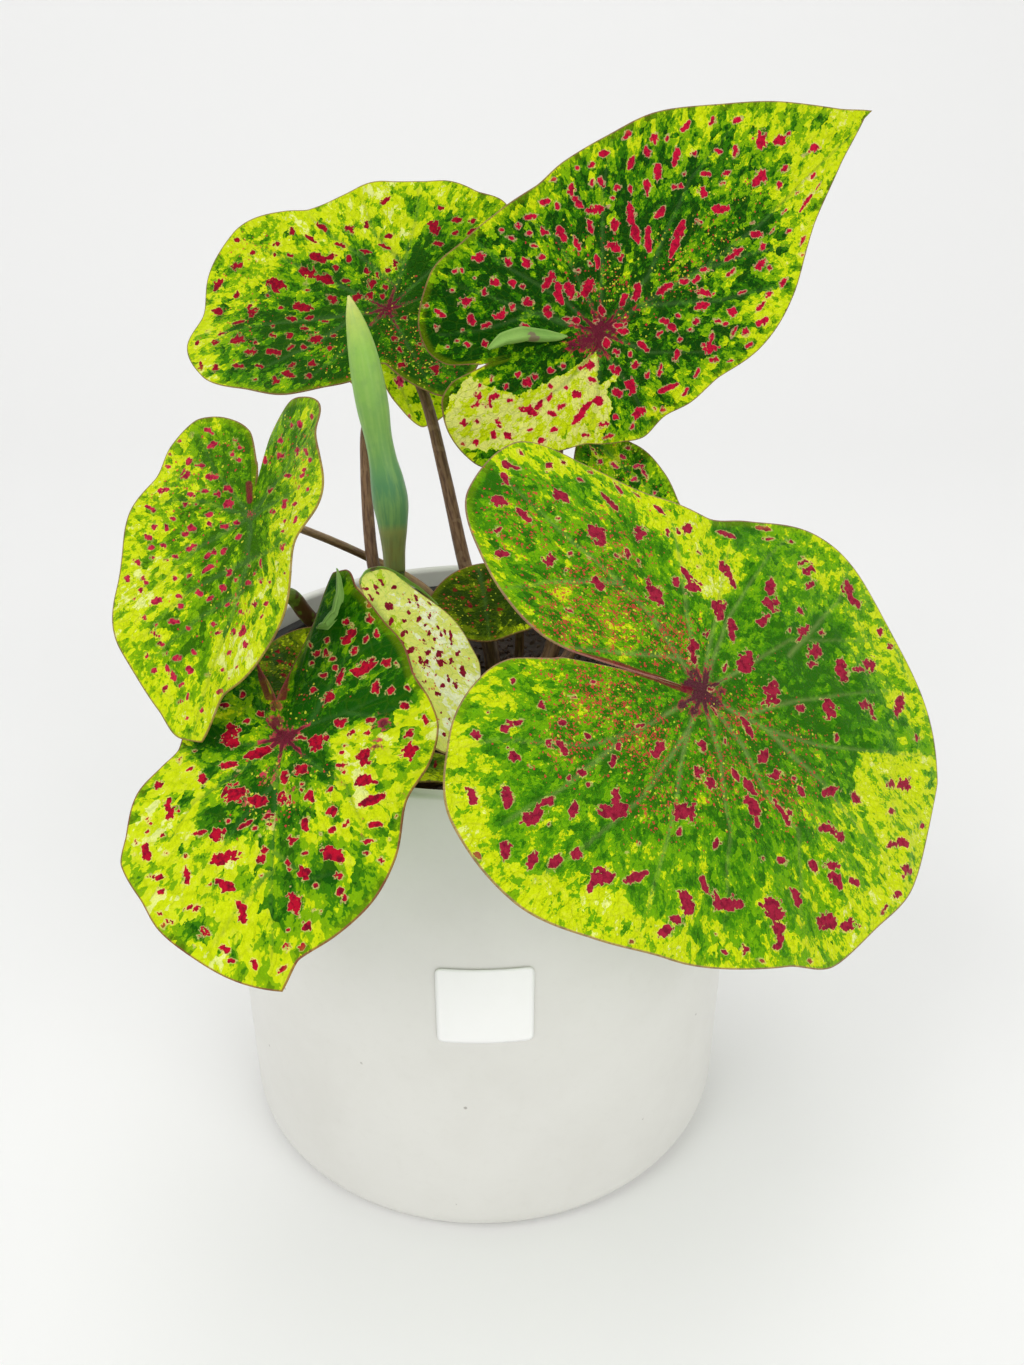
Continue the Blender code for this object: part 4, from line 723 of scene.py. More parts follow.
class PatternGroup(Wiring):
    """A shader node group that several finishes share."""

    def __init__(self, name: str, inputs: Sequence[tuple[str, str]],
                 outputs: Sequence[tuple[str, str]]) -> None:
        """Make the group with its named sockets.

        Args:
            name: what the group is called.
            inputs: (name, kind) of each input, where kind is Float, Color or Vector.
            outputs: (name, kind) of each output.
        """
        super().__init__(bpy.data.node_groups.new(name, "ShaderNodeTree"))
        for socket, kind in inputs:
            self.tree.interface.new_socket(socket, in_out="INPUT", socket_type="NodeSocket" + kind)
        for socket, kind in outputs:
            self.tree.interface.new_socket(socket, in_out="OUTPUT", socket_type="NodeSocket" + kind)
        self.given = self.node("NodeGroupInput").outputs
        self.result = self.node("NodeGroupOutput").inputs


def mottling_group() -> bpy.types.NodeTree:
    """Return the ragged patches of green: tone, broken up by noise and stepped into five colours."""
    colours = ("Dark", "Mid", "Bright", "Lime", "Cream")
    work = PatternGroup("mottled_green", [("Flow", "Vector"), ("Tone", "Float"), ("Raggedness", "Float")]
                        + [(name, "Color") for name in colours], [("Color", "Color"), ("Patches", "Float")])
    broad = work.noise(work.given["Flow"], 0.16, 2.0)
    patch = work.noise(work.vector("ADD", work.given["Flow"], (31.0, 7.0, 0.0)), 0.5, 3.0, 0.6)
    fine = work.noise(work.vector("ADD", work.given["Flow"], (3.0, 57.0, 0.0)), 1.9, 3.0, 0.6)
    wobble = work.node("ShaderNodeTexNoise")
    work.feed(wobble.inputs["Vector"], work.given["Flow"])
    wobble.inputs["Scale"].default_value = 0.8
    bent = work.vector("ADD", work.given["Flow"], work.vector("SCALE", wobble.outputs["Color"], 2.0))
    flakes = work.node("ShaderNodeSeparateColor")
    work.feed(flakes.inputs[0], work.cells(bent, 0.42).outputs["Color"])
    crumbs = work.node("ShaderNodeSeparateColor")
    work.feed(crumbs.inputs[0], work.cells(bent, 1.25).outputs["Color"])
    ragged = work.times(work.math("SUBTRACT", broad, 0.5), 0.9)
    for value, share in ((patch, 0.95), (fine, 0.42), (flakes.outputs[0], 0.62), (crumbs.outputs[1], 0.24)):
        ragged = work.math("ADD", ragged, work.times(work.math("SUBTRACT", value, 0.5), share))
    rough = work.times(work.given["Raggedness"],
                       work.step(work.given["Tone"], 0.55, 1.0, 1.0, 1.45))
    tone = work.math("ADD", work.given["Tone"], work.times(ragged, rough))
    colour = work.given["Dark"]
    edges = ((0.15, 0.26), (0.38, 0.47), (0.66, 0.75), (1.3, 1.42))
    for name, (low, high) in zip(colours[1:], edges):
        colour = work.blend(work.step(tone, low, high), colour, work.given[name])
    shade = work.noise(work.given["Flow"], 0.9, 4.0, 0.65)
    clouds = work.times(work.step(shade, 0.46, 0.7), work.step(tone, 0.66, 0.95, 0.0, 0.5))
    colour = work.blend(clouds, colour, paint(224, 230, 70))
    colour = work.blend(work.step(shade, 0.3, 0.48, 0.22, 0.0), colour, work.given["Mid"])
    work.feed(work.result["Color"], colour)
    work.feed(work.result["Patches"], tone)
    return work.tree


def spots_group() -> bpy.types.NodeTree:
    """Return spots with ragged edges and a pale halo, from a signed distance in millimetres."""
    work = PatternGroup("ragged_spots", [("Place", "Vector"), ("Distance", "Float"), ("Size", "Float"),
                                         ("Raggedness", "Float")], [("Mask", "Float"), ("Halo", "Float")])
    wide = work.times(work.math("SUBTRACT", work.noise(work.given["Place"], 0.55, 2.0, 0.6), 0.5),
                      4.2)
    fine = work.times(work.math("SUBTRACT", work.noise(work.given["Place"], 1.9, 2.0), 0.5), 1.3)
    chips = work.times(work.math("SUBTRACT",
                                 work.cells(work.given["Place"], 0.75).outputs["Distance"], 0.45),
                       1.1)
    rough = work.times(work.math("ADD", work.math("ADD", wide, fine), chips),
                       work.given["Raggedness"])
    rough = work.times(rough, work.math("ADD", 0.16,
                                        work.times(work.given["Size"], 0.62)))
    distance = work.math("ADD", work.given["Distance"], rough)
    mask = work.step(distance, -0.07, 0.09, 1.0, 0.0)
    halo = work.times(work.step(distance, 0.10, 0.46, 1.0, 0.0), work.math("SUBTRACT", 1.0, mask))
    work.feed(work.result["Mask"], mask)
    work.feed(work.result["Halo"], halo)
    return work.tree


def specks_group() -> bpy.types.NodeTree:
    """Return tiny scattered specks whose share grows with a density, and a value to tell them apart."""
    work = PatternGroup("fine_specks", [("Place", "Vector"), ("Scale", "Float"), ("Density", "Float"),
                                        ("Radius", "Float")], [("Mask", "Float"), ("Choice", "Float")])
    wobble = work.node("ShaderNodeTexNoise")
    work.feed(wobble.inputs["Vector"], work.given["Place"])
    wobble.inputs["Scale"].default_value = 1.3
    bent = work.vector("ADD", work.given["Place"], work.vector("SCALE", wobble.outputs["Color"], 0.7))
    cells = work.cells(bent, work.given["Scale"])
    split = work.node("ShaderNodeSeparateColor")
    work.feed(split.inputs[0], cells.outputs["Color"])
    there = work.math("LESS_THAN", split.outputs[0], work.given["Density"])
    size = work.times(work.given["Radius"], work.math("ADD", split.outputs[1], 0.35))
    mask = work.step(work.math("SUBTRACT", cells.outputs["Distance"], size), -0.06, 0.06, 1.0, 0.0)
    work.feed(work.result["Mask"], work.times(mask, there))
    work.feed(work.result["Choice"], split.outputs[2])
    return work.tree


def skin_group() -> bpy.types.NodeTree:
    """Return a leaf's fine net of veinlets and its grain, as a height and a mask."""
    work = PatternGroup("leaf_skin", [("Flow", "Vector"), ("Place", "Vector"), ("Net scale", "Float")],
                        [("Height", "Float"), ("Net", "Float")])
    edges = work.cells(work.given["Flow"], work.given["Net scale"], "DISTANCE_TO_EDGE").outputs["Distance"]
    net = work.step(edges, 0.0, 0.11, 1.0, 0.0)
    fine = work.cells(work.given["Place"], 1.5, "DISTANCE_TO_EDGE").outputs["Distance"]
    grain = work.noise(work.given["Place"], 3.5, 3.0)
    soft = work.noise(work.given["Flow"], 0.5, 2.0)
    height = work.math("SUBTRACT", work.times(grain, 0.35), work.times(net, 0.35))
    height = work.math("ADD", height, work.times(work.step(fine, 0.0, 0.2), 0.2))
    height = work.math("ADD", height, work.times(soft, 1.2))
    work.feed(work.result["Height"], height)
    work.feed(work.result["Net"], net)
    return work.tree


def wear_group() -> bpy.types.NodeTree:
    """Return uneven dust, scuffs and grain for the pots, the label, the soil and the stalks."""
    work = PatternGroup("uneven_surface", [("Place", "Vector"), ("Scale", "Float"), ("Base", "Color"),
                                           ("Stain", "Color"), ("Amount", "Float"), ("Roughness", "Float")],
                        [("Color", "Color"), ("Roughness", "Float"), ("Height", "Float")])
    broad = work.noise(work.given["Place"], work.given["Scale"], 4.0, 0.6)
    fine = work.noise(work.given["Place"], work.times(work.given["Scale"], 14.0), 3.0, 0.6)
    share = work.math("ADD", work.step(broad, 0.35, 0.8),
                      work.times(work.step(fine, 0.5, 0.9), 0.5))
    colour = work.blend(work.times(share, work.given["Amount"]), work.given["Base"],
                        work.given["Stain"])
    work.feed(work.result["Color"], colour)
    rough = work.math("ADD", work.given["Roughness"],
                      work.times(work.math("SUBTRACT", broad, 0.5), 0.14))
    work.feed(work.result["Roughness"], rough)
    work.feed(work.result["Height"], work.math("ADD", work.times(broad, 0.6),
                                               work.times(fine, 0.4)))
    return work.tree


@dataclass
class Groups:
    """The shader node groups, each built once."""

    mottling: bpy.types.NodeTree = field(default_factory=mottling_group)
    spots: bpy.types.NodeTree = field(default_factory=spots_group)
    specks: bpy.types.NodeTree = field(default_factory=specks_group)
    skin: bpy.types.NodeTree = field(default_factory=skin_group)
    wear: bpy.types.NodeTree = field(default_factory=wear_group)


GROUPS = Groups()
Colour = tuple[float, float, float, float]


class Finish(Wiring):
    """A material that is being made, with its Principled shader."""

    def __init__(self, name: str) -> None:
        """Make the material and keep its shader."""
        self.material = bpy.data.materials.new(name)
        self.material.use_nodes = True
        super().__init__(self.material.node_tree)
        self.shader = self.tree.nodes["Principled BSDF"]

    def dress(self, colour: object, roughness: object, height: Optional[object] = None,
              depth_mm: float = 0.1, **plain: float) -> bpy.types.Material:
        """Feed the shader and return the material.

        Args:
            colour: the base colour, or the socket that gives it.
            roughness: the roughness, or the socket that gives it.
            height: the socket that gives the relief, if there is one.
            depth_mm: how deep the relief is where its height is one.
            **plain: other sockets that are the same all over, by name with _ for a space.
        """
        self.feed(self.shader.inputs["Base Color"], colour)
        self.feed(self.shader.inputs["Roughness"], roughness)
        for name, value in plain.items():
            self.shader.inputs[name.replace("_", " ")].default_value = value
        if height is not None:
            bump = self.node("ShaderNodeBump")
            bump.inputs["Distance"].default_value = depth_mm * MM
            self.feed(bump.inputs["Height"], height)
            self.feed(self.shader.inputs["Normal"], bump.outputs[0])
        return self.material


@dataclass(frozen=True)
class LeafFinish:
    """The upper face of a blade: its greens, spots, specks, blushes, veins and margin, and a painted glow,
    where the face emits its own colour as if lit through.
    """

    name: str
    dark: Colour = paint(18, 74, 0)
    mid: Colour = paint(58, 122, 3)
    bright: Colour = paint(124, 174, 2)
    lime: Colour = paint(204, 222, 6)
    cream: Colour = paint(232, 240, 140)
    spot: Colour = paint(184, 14, 46)
    spot_deep: Colour = paint(118, 8, 36)
    halo: Colour = paint(232, 214, 132)
    speck: Colour = paint(206, 52, 58)
    speck_pale: Colour = paint(216, 220, 60)
    blush: Colour = paint(112, 20, 50)
    flush: Colour = paint(206, 58, 84)
    vein: Colour = paint(84, 122, 62)
    margin: Colour = paint(150, 104, 78)
    zone_tone: float = 1.0
    halo_share: float = 0.6
    vein_share: float = 0.5
    speck_share: float = 0.8
    raggedness: float = 1.0
    depth: float = 0.36
    pale_specks: float = 0.45
    shine: float = 0.05
    grain: float = 0.85
    speck_radius: float = 0.4
    # Painted glow: the face emits its own colour at this strength, in place of light that shines through the
    # thin blade.
    painted_glow: float = 0.05
    speck_scale: float = 1.5

    def build(self) -> bpy.types.Material:
        """Return the material."""
        make = Finish(self.name)
        place = make.place_mm()
        flow = make.vector("SCALE", make.attribute("flow", "Vector"), self.grain)
        ragged = make.noise(place, 0.5, 4.0, 0.6)
        zone = make.math("ADD", make.attribute("zone"),
                         make.times(make.math("SUBTRACT", ragged, 0.5), 4.0))
        inside = make.step(zone, -0.15, 0.15, 1.0, 0.0)
        tone = make.attribute("tone")
        shift = make.times(inside, make.math("SUBTRACT", self.zone_tone, tone))
        green = make.group(GROUPS.mottling, Flow=flow, Tone=make.math("ADD", tone, shift),
                           Raggedness=self.raggedness, Dark=self.dark, Mid=self.mid, Bright=self.bright,
                           Lime=self.lime, Cream=self.cream)
        skin = make.group(GROUPS.skin, Flow=flow, Place=place, Net_scale=0.42)
        colour = make.blend(make.times(skin.outputs["Net"], 0.14), green.outputs["Color"],
                            paint(92, 132, 8))
        vein = make.attribute("vein")
        colour = make.blend(make.times(vein, self.vein_share), colour, self.vein)
        blush = make.attribute("blush")
        patch = make.noise(flow, 0.7, 5.0, 0.7)
        flushed = make.step(make.math("ADD", blush,
                                      make.times(make.math("SUBTRACT", patch, 0.5), 2.6)),
                            0.42, 0.72)
        flushed = make.times(flushed, make.step(blush, 0.04, 0.25))
        tint = make.blend(make.step(blush, 0.5, 0.8), self.flush, self.blush)
        colour = make.blend(make.times(flushed, 0.94), colour, tint)
        density = make.attribute("specks")
        specks = make.group(GROUPS.specks, Place=place, Scale=self.speck_scale,
                            Density=make.times(density, self.speck_share),
                            Radius=self.speck_radius)
        tint = make.blend(make.math("LESS_THAN", specks.outputs["Choice"], self.pale_specks), self.speck,
                          self.speck_pale)
        colour = make.blend(make.times(specks.outputs["Mask"], 0.8), colour, tint)
        spots = make.group(GROUPS.spots, Place=place, Distance=make.attribute("spot"),
                           Size=make.attribute("spot_size"), Raggedness=1.0)
        colour = make.blend(make.times(spots.outputs["Halo"], self.halo_share), colour, self.halo)
        depth = make.blend(make.step(make.noise(place, 0.9, 2.0), 0.4, 0.7), self.spot, self.spot_deep)
        colour = make.blend(spots.outputs["Mask"], colour, depth)
        margin = make.attribute("margin")
        pale = make.step(margin, 0.9, 2.4, 0.35, 0.0)
        colour = make.blend(make.times(pale, 0.4), colour, self.lime)
        band = make.step(make.attribute("band"), 0.6, 1.1, 1.0, 0.0)
        colour = make.blend(make.times(band, 0.85), colour, paint(120, 20, 44))
        colour = make.blend(make.step(margin, 0.16, 0.42, 0.75, 0.0), colour, self.margin)
        gloss = make.math("ADD", 0.36, make.times(make.noise(place, 0.8, 3.0), 0.16))
        # Painted glow: the face's own colour is fed to the emission, so that the blade looks lit through.
        make.feed(make.shader.inputs["Emission Color"], colour)
        return make.dress(colour, gloss, skin.outputs["Height"], self.depth,
                          Specular_IOR_Level=self.shine, Emission_Strength=self.painted_glow)


@dataclass(frozen=True)
class UndersideFinish:
    """The underside of a blade: matt, pale and faintly veined, with dull flecks."""

    name: str
    base: Colour = paint(152, 192, 96)
    vein: Colour = paint(196, 216, 168)
    fleck: Colour = paint(132, 92, 96)

    def build(self) -> bpy.types.Material:
        """Return the material."""
        make = Finish(self.name)
        place, flow = make.place_mm(), make.attribute("flow", "Vector")
        wear = make.group(GROUPS.wear, Place=place, Scale=0.12, Base=self.base, Stain=paint(118, 168, 76),
                          Amount=0.8, Roughness=0.55)
        skin = make.group(GROUPS.skin, Flow=flow, Place=place, Net_scale=0.3)
        colour = make.blend(make.times(skin.outputs["Net"], 0.4), wear.outputs["Color"], self.vein)
        colour = make.blend(make.times(make.attribute("vein"), 0.6), colour, self.vein)
        specks = make.group(GROUPS.specks, Place=place, Scale=0.22, Density=0.55, Radius=0.3)
        colour = make.blend(make.times(specks.outputs["Mask"], 0.75), colour, self.fleck)
        colour = make.blend(make.step(make.attribute("margin"), 0.3, 0.6, 0.8, 0.0), colour,
                            paint(176, 140, 112))
        return make.dress(colour, wear.outputs["Roughness"], skin.outputs["Height"], 0.15,
                          Specular_IOR_Level=0.2)


@dataclass(frozen=True)
class StalkFinish:
    """A stalk: long fine streaks, with blotches on the green ones."""

    name: str
    base: Colour
    streak: Colour
    blotch: Colour
    blotches: float = 0.0

    def build(self) -> bpy.types.Material:
        """Return the material."""
        make = Finish(self.name)
        place = make.place_mm()
        join = make.node("ShaderNodeCombineXYZ")
        make.feed(join.inputs[0], make.times(make.attribute("around"), 14.0))
        make.feed(join.inputs[1], make.times(make.attribute("along"), 0.16))
        streaks = make.noise(join.outputs[0], 1.0, 4.0, 0.6)
        colour = make.blend(make.step(streaks, 0.38, 0.66), self.base, self.streak)
        wide = make.noise(place, 0.2, 2.0)
        mask = make.step(wide, 0.60 - 0.1 * self.blotches, 0.66 - 0.1 * self.blotches)
        colour = make.blend(make.times(mask, 0.9 if self.blotches else 0.4), colour, self.blotch)
        wear = make.group(GROUPS.wear, Place=place, Scale=0.5, Base=colour, Stain=self.streak, Amount=0.25,
                          Roughness=0.46)
        height = make.math("ADD", streaks, make.times(wear.outputs["Height"], 0.5))
        return make.dress(wear.outputs["Color"], wear.outputs["Roughness"], height, 0.12,
                          Specular_IOR_Level=0.25)


@dataclass(frozen=True)
class BudFinish:
    """The flower bud's hood: cream at the tip, green, bluish below the waist, and olive at the foot."""

    name: str = "flower_bud_hood"

    def build(self) -> bpy.types.Material:
        """Return the material."""
        make = Finish(self.name)
        place, along, around = make.place_mm(), make.attribute("along"), make.attribute("around")
        ramp = make.node("ShaderNodeValToRGB")
        stops = ((0.0, paint(132, 138, 72)), (0.15, paint(146, 152, 84)), (0.18, paint(100, 148, 92)),
                 (0.32, paint(90, 146, 96)), (0.45, paint(120, 168, 88)), (0.75, paint(152, 198, 84)),
                 (0.92, paint(196, 214, 100)), (1.0, paint(238, 230, 140)))
        while len(ramp.color_ramp.elements) < len(stops):
            ramp.color_ramp.elements.new(0.5)
        for stop, (position, colour) in zip(ramp.color_ramp.elements, stops):
            stop.position, stop.color = position, colour
        make.feed(ramp.inputs[0], along)
        join = make.node("ShaderNodeCombineXYZ")
        make.feed(join.inputs[0], make.times(around, 22.0))
        make.feed(join.inputs[1], make.times(along, 7.0))
        lines = make.noise(join.outputs[0], 1.0, 4.0, 0.55)
        colour = make.blend(make.times(make.step(lines, 0.42, 0.68), 0.4), ramp.outputs[0],
                            paint(164, 200, 104))
        olive = make.times(make.step(along, 0.1, 0.19, 1.0, 0.0), make.step(lines, 0.4, 0.6))
        colour = make.blend(make.times(olive, 0.7), colour, paint(126, 108, 62))
        seam = make.math("MULTIPLY",
                         make.step(make.math("ABSOLUTE", make.math("SUBTRACT", around, 0.015)), 0.0, 0.05,
                                   1.0, 0.0),
                         make.step(along, 0.55, 0.8))
        colour = make.blend(make.times(seam, 0.85), colour, paint(222, 214, 128))
        wear = make.group(GROUPS.wear, Place=place, Scale=0.3, Base=colour, Stain=paint(92, 140, 92),
                          Amount=0.3,
                          Roughness=0.42)
        return make.dress(wear.outputs["Color"], wear.outputs["Roughness"], lines, 0.16,
                          Specular_IOR_Level=0.25)


@dataclass(frozen=True)
class PlainFinish:
    """A surface with stains, grain and uneven gloss over one colour."""

    name: str
    base: Colour
    stain: Colour
    amount: float = 0.3
    scale: float = 0.05
    roughness: float = 0.4
    depth: float = 0.05
    speckle: Optional[Colour] = None
    speckle_share: float = 0.05

    def build(self) -> bpy.types.Material:
        """Return the material."""
        make = Finish(self.name)
        place = make.place_mm()
        wear = make.group(GROUPS.wear, Place=place, Scale=self.scale, Base=self.base, Stain=self.stain,
                          Amount=self.amount, Roughness=self.roughness)
        colour = wear.outputs["Color"]
        if self.speckle is not None:
            specks = make.group(GROUPS.specks, Place=place, Scale=0.35, Density=self.speckle_share,
                                Radius=0.14)
            colour = make.blend(make.times(specks.outputs["Mask"], 0.6), colour, self.speckle)
        return make.dress(colour, wear.outputs["Roughness"], wear.outputs["Height"], self.depth)


FINISHES = {
    "leaf_top_right": LeafFinish("leaf_top_right_face", zone_tone=1.4, cream=paint(232, 234, 124),
                                 dark=paint(12, 66, 0), mid=paint(48, 114, 0), spot=paint(200, 14, 56),
                                 spot_deep=paint(150, 10, 44), flush=paint(196, 30, 66),
                                 halo=paint(228, 190, 140)),
    "leaf_top_left": LeafFinish("leaf_top_left_face", zone_tone=0.5, halo_share=0.3, dark=paint(26, 78, 2),
                                spot=paint(160, 12, 36), flush=paint(150, 60, 60)),
    "leaf_left": LeafFinish("leaf_left_face", zone_tone=0.5, grain=1.1, halo_share=0.25,
                            spot=paint(196, 40, 70),
                            spot_deep=paint(134, 20, 48), dark=paint(52, 104, 0), mid=paint(84, 140, 2)),
    "leaf_front_left": LeafFinish("leaf_front_left_face", zone_tone=0.05, grain=0.62,
                                  margin=paint(150, 70, 70), spot=paint(186, 14, 44),
                                  dark=paint(20, 82, 0), vein=paint(70, 116, 52)),
    "leaf_front_right": LeafFinish("leaf_front_right_face", zone_tone=0.9, pale_specks=0.12, raggedness=0.8,
                                   grain=1.25, speck_radius=0.5, spot=paint(164, 34, 60),
                                   spot_deep=paint(126, 20, 46), dark=paint(40, 104, 2),
                                   mid=paint(66, 134, 4),
                                   bright=paint(110, 170, 4), blush=paint(92, 26, 52),
                                   flush=paint(170, 50, 66),
                                   vein=paint(138, 162, 84), margin=paint(166, 112, 104), halo_share=0.5,
                                   vein_share=0.6, speck_scale=1.9, speck_share=1.3),
    # The cream leaf and the back leaf have a strong painted glow, which lifts them where the other leaves
    # shade them.
    "leaf_cream": LeafFinish("leaf_cream_face", spot=paint(140, 20, 44), halo_share=0.15, zone_tone=1.3,
                             bright=paint(176, 204, 30), lime=paint(226, 232, 116),
                             cream=paint(252, 254, 212), raggedness=0.5, painted_glow=0.34),
    "leaf_back": LeafFinish("leaf_back_face", spot=paint(220, 60, 104), bright=paint(176, 206, 10),
                            lime=paint(206, 226, 20),
                            painted_glow=0.3),
    "leaf_back_right": LeafFinish("leaf_back_right_face", spot=paint(200, 44, 84), zone_tone=0.5),
    "leaf_inner_back": LeafFinish("leaf_inner_back_face", dark=paint(40, 66, 0), mid=paint(66, 92, 0),
                                  bright=paint(112, 132, 4), spot=paint(120, 44, 18), halo_share=0.0),
    "leaf_under_left": LeafFinish("leaf_under_left_face", dark=paint(44, 78, 2), mid=paint(84, 112, 4),
                                  bright=paint(128, 146, 8), spot=paint(156, 30, 30), halo_share=0.0),
    "leaf_under_front": LeafFinish("leaf_under_front_face", dark=paint(36, 74, 2), mid=paint(70, 104, 4),
                                   bright=paint(132, 156, 12), spot=paint(130, 30, 30), halo_share=0.0),
}
UNDERSIDE = UndersideFinish("leaf_underside").build()
STALK_FINISHES = {
    Slot.BROWN_STALK: StalkFinish("stalk_brown_skin", paint(126, 96, 66), paint(84, 58, 38),
                                  paint(150, 122, 88)),
    Slot.GREEN_STALK: StalkFinish("stalk_green_skin", paint(112, 136, 44), paint(84, 108, 30),
                                  paint(78, 24, 26), 1.0),
}


def make_piece(name: str, points: np.ndarray, faces: Sequence, materials: Sequence[bpy.types.Material],
               indices: Optional[np.ndarray] = None) -> bpy.types.Object:
    """Make a smooth mesh piece whose object sits at the origin.

    Args:
        name: the piece's name.
        points: its vertices in millimetres.
        faces: its faces, as vertex numbers.
        materials: its material slots in order.
        indices: the material slot of each face, where there is more than one.

    Returns:
        The new object, linked to the scene.
    """
    mesh = bpy.data.meshes.new(name)
    mesh.from_pydata(np.asarray(points, dtype=float) * MM, [], faces)
    for material in materials:
        mesh.materials.append(material)
    if indices is not None:
        mesh.polygons.foreach_set("material_index", np.asarray(indices, dtype=np.int32))
    mesh.shade_smooth()
    piece = bpy.data.objects.new(name, mesh)
    bpy.context.scene.collection.objects.link(piece)
    return piece


def store(mesh: bpy.types.Mesh, name: str, values: np.ndarray) -> None:
    """Keep a number or a vector for each vertex as an attribute."""
    flat = np.asarray(values, dtype=np.float32)
    kind, key = ("FLOAT_VECTOR", "vector") if flat.ndim == 2 else ("FLOAT", "value")
    mesh.attributes.new(name, kind, "POINT").data.foreach_set(key, flat.ravel())


def declare(piece: bpy.types.Object, node: str) -> None:
    """Let a piece ride on the plant's one body and stand for its CAD node."""
    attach(piece, "root")
    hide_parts(node)
    LOG.info("%s: %d faces, stands for %s", piece.name, len(piece.data.polygons), node)


def line_distance(pixels: np.ndarray, line: Sequence[tuple[float, float]]) -> tuple[np.ndarray, np.ndarray]:
    """Return the distance to a line of points, and how far along it the nearest point is."""
    knots = np.array(line, dtype=float)
    lengths = np.linalg.norm(np.diff(knots, axis=0), axis=1)
    starts = np.concatenate([[0.0], np.cumsum(lengths)])
    best = np.full(pixels.shape[:-1], 1e9)
    along = np.zeros(pixels.shape[:-1])
    for index, (start, end) in enumerate(zip(knots, knots[1:])):
        span = end - start
        share = np.clip(((pixels - start) @ span) / (span @ span), 0.0, 1.0)
        gap = np.linalg.norm(pixels - (start + share[..., None] * span), axis=-1)
        nearer = gap < best
        best = np.where(nearer, gap, best)
        along = np.where(nearer, (starts[index] + share * lengths[index]) / starts[-1], along)
    return best, along


def area_distance(pixels: np.ndarray, corners: Line) -> np.ndarray:
    """Return the signed distance to an area's edge, below zero inside."""
    loop = list(corners) + [corners[0]]
    gap, _ = line_distance(pixels, loop)
    inside = np.zeros(pixels.shape[:-1], dtype=bool)
    x, y = pixels[..., 0], pixels[..., 1]
    for (x0, y0), (x1, y1) in zip(loop, loop[1:]):
        crosses = (y0 > y) != (y1 > y)
        inside ^= crosses & (x < (x1 - x0) * (y - y0) / ((y1 - y0) or 1e-9) + x0)
    return np.where(inside, -gap, gap)


def unit(vectors: np.ndarray) -> np.ndarray:
    """Return vectors of length one."""
    return vectors / np.maximum(np.linalg.norm(vectors, axis=-1, keepdims=True), 1e-9)


